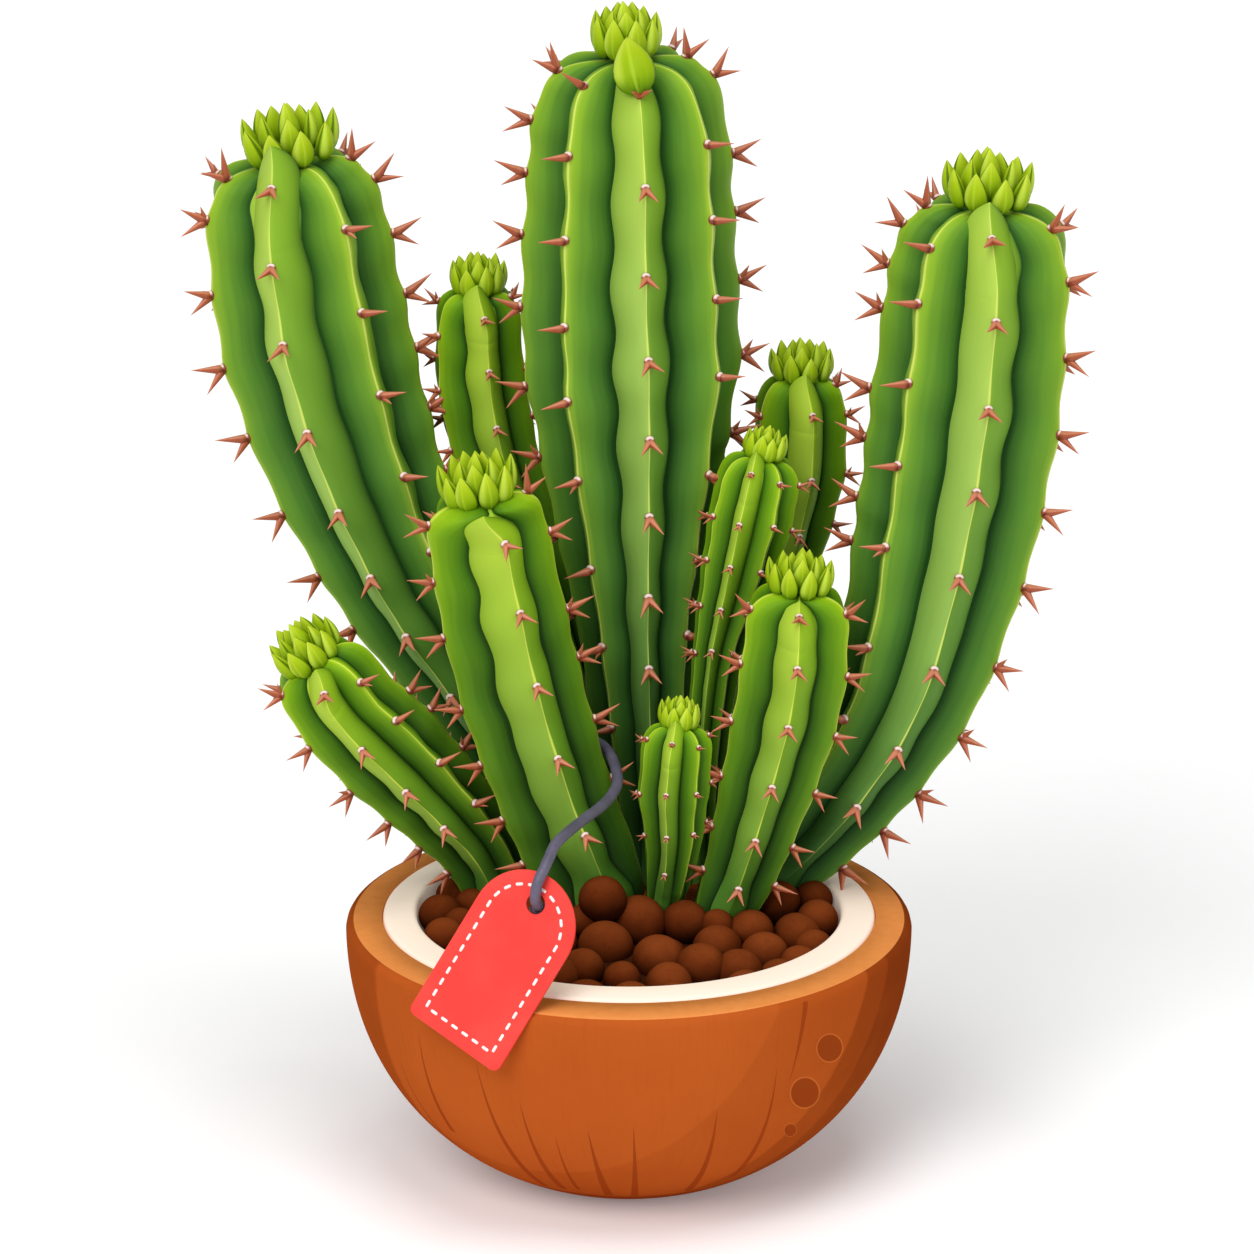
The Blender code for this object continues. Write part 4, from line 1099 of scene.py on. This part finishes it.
thorn = Finish("spines", Specular_IOR_Level=0.3, Coat_Weight=0.06, Coat_Roughness=0.15)
turn, along, _ = thorn.parts(thorn.coordinates("UV"))
speck = thorn.noise(thorn.coordinates("Object"), 500, 3)
# Painted highlights: a pale pink crescent on the upper rim of each pad and a lighter streak along
# the upper side of each spine.
highlight_side = 1 - abs(turn - 0.75).between(0.12, 0.24)
rim = along.between(0.02, 0.06) * (1 - along.between(0.2, 0.25))
knob = thorn.mix(highlight_side * rim * 0.9, colour(142, 62, 48), colour(246, 222, 214))
spike = thorn.ramp(along + (speck - 0.5) * 0.12, (0.4, colour(104, 42, 28)),
                   (0.5, colour(156, 74, 44)), (0.8, colour(172, 88, 54)),
                   (1.0, colour(190, 112, 78)))
spike = thorn.mix(highlight_side * 0.5, spike, colour(226, 150, 116))
thorn.show("Base Color", thorn.mix(along.between(0.34, 0.36), knob, spike))
thorn.show("Roughness", 0.28 + 0.2 * speck)
thorn.bump(speck, 0.08 * MM, 0.4)

SPINE_PROFILE = ((0, 0.0), (0, 1.0), (0.2, 0.84), (0.45, 0.58), (0.7, 0.32), (0.9, 0.11), (1, 0))
PAD_PROFILE = ((-0.6, 0.0), (-0.5, 0.85), (0.0, 1.0), (0.32, 0.94), (0.55, 0.7), (0.6, 0.4),
               (0.55, 0.0))
SPINE_HALF = 0.165  # of a long spine's length, at the foot
PAD_RADIUS = 1.6 * MM
FRONT_SPINES = (((0.8, -0.34, -0.5), 0.78), ((0.8, -0.34, 0.5), 0.78))  # ((out, up, aside), long)
NEAR_SPINES = (((0.76, -0.10, 0.62), 0.92), ((0.66, -0.62, 0.25), 0.5))
SIDE_SPINES = (((0.92, 0.30, 0.05), 1.06), ((0.76, -0.62, 0.05), 0.94), ((0.5, 0.8, -0.2), 0.62))
LONGEST_SPINE = 9.5  # mm
FRONT_TURN = 27  # a rib nearer to the front than this has two short spines on a pad,
NEAR_TURN = 58  # and one nearer than this has one, or two on some pads
BACK_TURN = 108  # ribs behind the plant's outline have shorter spines
BACK_SHARE = 0.7
SECOND_SHARE = 0.45  # of the near ribs' pads have a second spine
THIRD_SHARE = 0.25  # of the other ribs' pads have a third
SPINE_SEED = 11


def turned(name, around, profile, heights):
    """A small round shape with a profile of (height, radius) along Z."""
    lift = np.array([height for height, _ in profile])
    wide = np.array([radius for _, radius in profile])

    def place(ring, turn):
        angle = 2 * np.pi * turn
        return np.stack((np.cos(angle) * wide[ring], np.sin(angle) * wide[ring], lift[ring]), 1)

    return grown_ball(name, around, len(profile) - 1, place, heights)


spine = turned("spine", 8, SPINE_PROFILE, [0.4 + 0.6 * h for h, _ in SPINE_PROFILE])
pad = turned("pad", 12, PAD_PROFILE, (0, 0, 0.03, 0.1, 0.2, 0.26, 0.3))

LEAF_PROFILE = ((0, 0.0), (0.015, 0.3), (0.06, 0.56), (0.14, 0.8), (0.24, 0.94), (0.36, 1.0),
                (0.49, 0.96), (0.62, 0.83), (0.74, 0.64), (0.85, 0.41), (0.94, 0.18), (1, 0))
LEAF_SIDES = 16
LEAF_THICK = 0.66  # of its width
LEAF_CURL = 0.13  # of its length, towards the middle of the crown
KEEL = 0.12


def leaf_place(ring, turn):
    """A plump pointed leaf along Z: it is a length long and a width wide, with a keel at -Y."""
    lift = np.array([height for height, _ in LEAF_PROFILE])[ring]
    wide = np.array([radius for _, radius in LEAF_PROFILE])[ring] / 2
    angle = 2 * np.pi * turn
    keel = KEEL * np.maximum(0, np.cos(angle)) ** 6
    x = np.sin(angle) * wide
    y = -np.cos(angle) * wide * LEAF_THICK * (1 + keel)
    y += LEAF_CURL * 2 * lift * lift
    return np.stack((x, y, lift), 1)


leaf = grown_ball("leaf", LEAF_SIDES, len(LEAF_PROFILE) - 1, leaf_place,
                  [h for h, _ in LEAF_PROFILE])

sprout = Finish("young_leaves", Specular_IOR_Level=0.06)
flat = sprout.coordinates("UV")
side, lift, _ = sprout.parts(flat)
from_keel = 1 - abs(side - 0.5) * 2.0
veins = sprout.noise(sprout.stretched(flat, (30, 1.6, 1)), 1.0, 3)
cloud = sprout.noise(sprout.coordinates("Object"), 120, 2)
rough = (veins - 0.5) * 0.25 + (cloud - 0.5) * 0.2
green = sprout.ramp(lift + rough, (0.05, colour(90, 130, 8)), (0.3, colour(136, 170, 14)),
                    (0.7, colour(162, 190, 24)), (1.0, colour(190, 210, 52)))
margin = 1 - abs(from_keel - 0.52).between(0.03, 0.13)
green = sprout.mix(margin * 0.85, green, colour(64, 100, 5))
left_light = side.between(0.74, 0.84) * (1 - side.between(0.86, 0.96)) * lift.between(0.1, 0.4)
green = sprout.mix(left_light * 0.6, green, colour(206, 228, 84))
keel_line = (1 - from_keel.between(0.01, 0.05)) * (1 - lift.between(0.85, 0.98))
sprout.show("Base Color", sprout.mix(keel_line * 0.3, green, colour(196, 222, 66)))
sprout.show("Roughness", 0.36 + 0.15 * veins)
sprout.bump(veins, 0.12 * MM, 0.35)

CROWN = (  # (distance from the middle, count, lean, foot below the crown, length, width, turn)
    (8.8, 9, 20, 4.8, 14.0, 7.8, 0.5),
    (5.2, 5, 10, 2.4, 13.4, 7.8, 0.0),
    (0.6, 1, 0, 1.5, 14.4, 7.6, 0.0),
)
CROWN_BACK = 1.6 * MM  # the crown stands a little behind the front rib's free end
CROWN_SEED = 3
FRONT_LEAF = {  # one broad leaf: (width, below the top in dome heights, sunk, (to the front, up))
    "stem_centre_tall": (13.6, 0.33, -1.5, (16.0, 7.5)),
}


def turn_to(direction, outward):
    """A turn that takes Z to a direction and -Y as near to outward as it goes."""
    direction = direction.normalized()
    back = (direction * outward.dot(direction) - outward).normalized()
    return Matrix((back.cross(direction), back, direction)).transposed().to_4x4()


draw_spines = random.Random(SPINE_SEED)
draw_leaves = random.Random(CROWN_SEED)
for name, facts in STEMS.items():
    stem = Stem(name, facts)
    skin = stem.skin()
    middle, rise, front, right = (Vector(part[0]) for part in stem.frames(stem.length))
    if "tip" in facts:
        skin = joined(name + "_skin", [skin, stem.rib_end()])
    dressed(skin, young_skin if facts["young"] else old_skin)
    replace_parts(skin, name)

    thorns = []
    length = facts["spine"] * MM
    pad_size = PAD_RADIUS * (0.45 + 0.55 * facts["spine"] / LONGEST_SPINE)
    for rib, angle in enumerate(stem.angles):
        facing = abs((angle + 180) % 360 - 180)
        side = 1 if (angle + 180) % 360 > 180 else -1
        for up in stem.pads[rib]:
            if up > stem.length - 1.5 * MM:
                continue
            place, out, rise_here, aside = stem.pad_frame(rib, up)
            seat = Matrix.Translation(place + out * 0.1 * MM) @ turn_to(out, rise_here)
            thorns.append(copied(pad, seat @ Matrix.Diagonal((pad_size,) * 3 + (1,))))
            group = SIDE_SPINES[:3 if draw_spines.random() < THIRD_SHARE else 2]
            if facing < FRONT_TURN:
                group = FRONT_SPINES
            elif facing < NEAR_TURN:
                group = NEAR_SPINES[:2 if draw_spines.random() < SECOND_SHARE else 1]
            for slant, long in group:
                out_share, up_share, side_share = (
                    share + draw_spines.uniform(-0.08, 0.08) for share in slant)
                direction = out * out_share + rise_here * up_share + aside * side_share * side
                long *= length * draw_spines.uniform(0.95, 1.1)
                long *= BACK_SHARE if facing > BACK_TURN else 1
                thick = SPINE_HALF * (0.45 * length + 0.55 * long)
                foot = Matrix.Translation(place + out * 0.3 * MM - rise_here * 0.25 * pad_size)
                stretch = Matrix.Diagonal((thick, thick, long, 1))
                thorns.append(copied(spine, foot @ turn_to(direction, rise_here) @ stretch))
    dressed(joined(name + "_spines", thorns), thorn)

    spread, size, shift = facts["crown"]
    leaves = []
    for distance, count, lean, sink, long, wide, offset in CROWN:
        for i in range(count):
            angle = 2 * math.pi * (i + offset + draw_leaves.uniform(-0.1, 0.1)) / count
            out = front * math.cos(angle) + right * math.sin(angle)
            tilt = math.radians(lean * spread + draw_leaves.uniform(-3, 3))
            direction = rise * math.cos(tilt) + out * math.sin(tilt)
            root = middle + (out * distance * spread - rise * sink) * size * MM
            root += right * shift * MM - front * CROWN_BACK * size
            tall = long * size * MM * draw_leaves.uniform(0.92, 1.06)
            broad = wide * size * MM * draw_leaves.uniform(0.92, 1.05)
            stretch = Matrix.Diagonal((broad, broad, tall, 1))
            turn = turn_to(direction, out)
            leaves.append(copied(leaf, Matrix.Translation(root) @ turn @ stretch))
    if name in FRONT_LEAF:
        wide, low, sink, (forward, above) = FRONT_LEAF[name]
        place, out, _, _ = stem.pad_frame(stem.front, stem.length - low * stem.dome)
        root = place - out * sink * MM
        direction = middle + front * forward * MM + rise * above * MM - root
        stretch = Matrix.Diagonal((wide * MM, wide * MM, direction.length, 1))
        leaves.append(copied(leaf, Matrix.Translation(root) @ turn_to(direction, front) @ stretch))
    dressed(joined(name + "_leaves", leaves), sprout)
for master in (spine, pad, leaf):
    bpy.data.objects.remove(master)

# Hang tag: a blank card with an arched top, coated red, with a seam of white thread sewn round
# its edge and a punched hole that the cord goes through. It leans on the rim of the shell.
TAG_FOOT = Vector((-55.59, -78.40, 69.72)) * MM
TAG_UP = Vector((0.5095, 0.1130, 0.8530))  # along the card, and then across it and out of it
TAG_ACROSS = Vector((0.7709, -0.5003, -0.3942))
TAG_OUT = Vector((-0.3822, -0.8585, 0.3420))
TAG_WIDTH = 36 * MM
TAG_LENGTH = 61.5 * MM
TAG_THICK = 1.2 * MM
TAG_CORNER = 2.6 * MM
TAG_HOLE_RADIUS = 3.2 * MM
TAG_HOLE_DOWN = 9.6 * MM
TAG_EDGE = 0.25 * MM
SEAM_INSET = 4.6 * MM
STITCH_PITCH = 4.15 * MM
STITCH = (2.5 * MM, 1.0 * MM, 0.6 * MM)  # (length, width, height)
STITCH_PROFILE = (  # (along, radius)
    (-0.5, 0.0), (-0.49, 0.22), (-0.45, 0.38), (-0.37, 0.47), (-0.25, 0.5),
    (0.25, 0.5), (0.37, 0.47), (0.45, 0.38), (0.49, 0.22), (0.5, 0.0))


def arc(centre, radius, start, end, count):
    angles = [math.radians(start + (end - start) * i / (count - 1)) for i in range(count)]
    return [(centre[0] + radius * math.cos(a), centre[1] + radius * math.sin(a)) for a in angles]


def tag_outline(inset, corner):
    half = TAG_WIDTH / 2 - inset
    low = inset + corner
    points = arc((half - corner, low), corner, -90, 0, 7)
    points += arc((0, TAG_LENGTH - TAG_WIDTH / 2), half, 0, 180, 49)
    return points + arc((corner - half, low), corner, 180, 270, 7)


deselect()
card = bpy.data.curves.new("hang_tag_card", "CURVE")
card.dimensions = "2D"
card.fill_mode = "BOTH"
card.extrude = TAG_THICK / 2 - TAG_EDGE
card.bevel_depth = TAG_EDGE
card.bevel_resolution = 3
card.offset = -TAG_EDGE
hole = arc((0, TAG_LENGTH - TAG_HOLE_DOWN), TAG_HOLE_RADIUS, 0, 352.5, 48)
for points in (tag_outline(0, TAG_CORNER), hole):
    edge = card.splines.new("POLY")
    edge.points.add(len(points) - 1)
    for point, (x, y) in zip(edge.points, points):
        point.co = (x, y, 0, 1)
    edge.use_cyclic_u = True
tag = bpy.data.objects.new("hang_tag_card", card)
bpy.context.collection.objects.link(tag)
tag.select_set(True)
bpy.context.view_layer.objects.active = tag
bpy.ops.object.convert(target="MESH")
tag = bpy.context.object
on_pot = Matrix.Translation(TAG_FOOT) @ Matrix((TAG_ACROSS, TAG_UP, TAG_OUT)).transposed().to_4x4()
faced_out(SEAM_MERGE / 2)
tag.data.transform(on_pot)
bpy.ops.object.shade_smooth_by_angle(angle=math.radians(40))

card_red = Finish("red_card", Specular_IOR_Level=0.12)
spot = card_red.coordinates("Object")
pulp = card_red.noise(spot, 1500, 4)
bloom = card_red.noise(spot, 60, 3)
red = card_red.mix(bloom.between(0.3, 0.7), colour(246, 64, 58), colour(240, 74, 66))
card_red.show("Base Color", card_red.mix(pulp.between(0.55, 0.8) * 0.2, red, colour(228, 60, 56)))
card_red.show("Roughness", 0.42 + 0.15 * bloom)
card_red.bump(pulp, 0.05 * MM, 0.5)
dressed(tag, card_red)
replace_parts(tag, "hang_tag")

seam = [Vector((x, y, 0)) for x, y in tag_outline(SEAM_INSET, 0.6 * MM)]
seam.append(seam[0])
whole = sum((b - a).length for a, b in zip(seam, seam[1:]))
stitch_count = round(whole / STITCH_PITCH)
stitch = turned("stitch", 12, STITCH_PROFILE, None)
stitches = []
for i in range(stitch_count):
    distance = whole * (i + 0.5) / stitch_count
    for a, b in zip(seam, seam[1:]):
        if distance <= (b - a).length:
            break
        distance -= (b - a).length
    direction = (b - a).normalized()
    place = a + direction * distance + Vector((0, 0, TAG_THICK / 2))
    turn = turn_to(direction, Vector((0, 0, 1)))
    long, wide, high = STITCH
    stitches.append(copied(
        stitch, on_pot @ Matrix.Translation(place) @ turn @ Matrix.Diagonal((wide, high, long, 1))))
bpy.data.objects.remove(stitch)
thread = Finish("white_thread")
twist = thread.noise(thread.coordinates("Object"), 1200, 3)
thread.show("Base Color", thread.mix(twist, colour(255, 252, 250), colour(236, 226, 222)))
thread.show("Roughness", 0.6 + 0.2 * twist)
thread.bump(twist, 0.1 * MM, 0.5)
dressed(joined("hang_tag_stitches", stitches), thread)

# Knots: the cord's two ends, each pulled into a small round overhand knot, one behind the
# front left stem and one behind the tag's hole.
KNOT_RADIUS = 3.8 * MM
KNOT_YARN = 1.35 * MM
KNOT_POINTS = 96
KNOT_SIDES = 12
KNOT_GAP = 0.3 * MM

for name, end, inner in (
    ("cord_knot_stem", cord_line[0], cord_line[1]), ("cord_knot_tag", cord_line[-1], cord_line[-2])
):
    away = (end - inner).normalized()
    centre = end + away * (KNOT_RADIUS + KNOT_GAP)
    turn = away.to_track_quat("Z", "Y").to_matrix()
    loop = []
    for i in range(KNOT_POINTS + 1):
        a = 2 * math.pi * i / KNOT_POINTS
        point = Vector((math.sin(a) + 2 * math.sin(2 * a), math.cos(a) - 2 * math.cos(2 * a),
                        -1.9 * math.sin(3 * a)))
        loop.append(centre + turn @ point * (KNOT_RADIUS - KNOT_YARN) / 3)
    knot = swept(name + "_tied", loop, KNOT_SIDES, lambda distance, turn: KNOT_YARN + 0 * turn)
    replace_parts(dressed(knot, waxed), name)
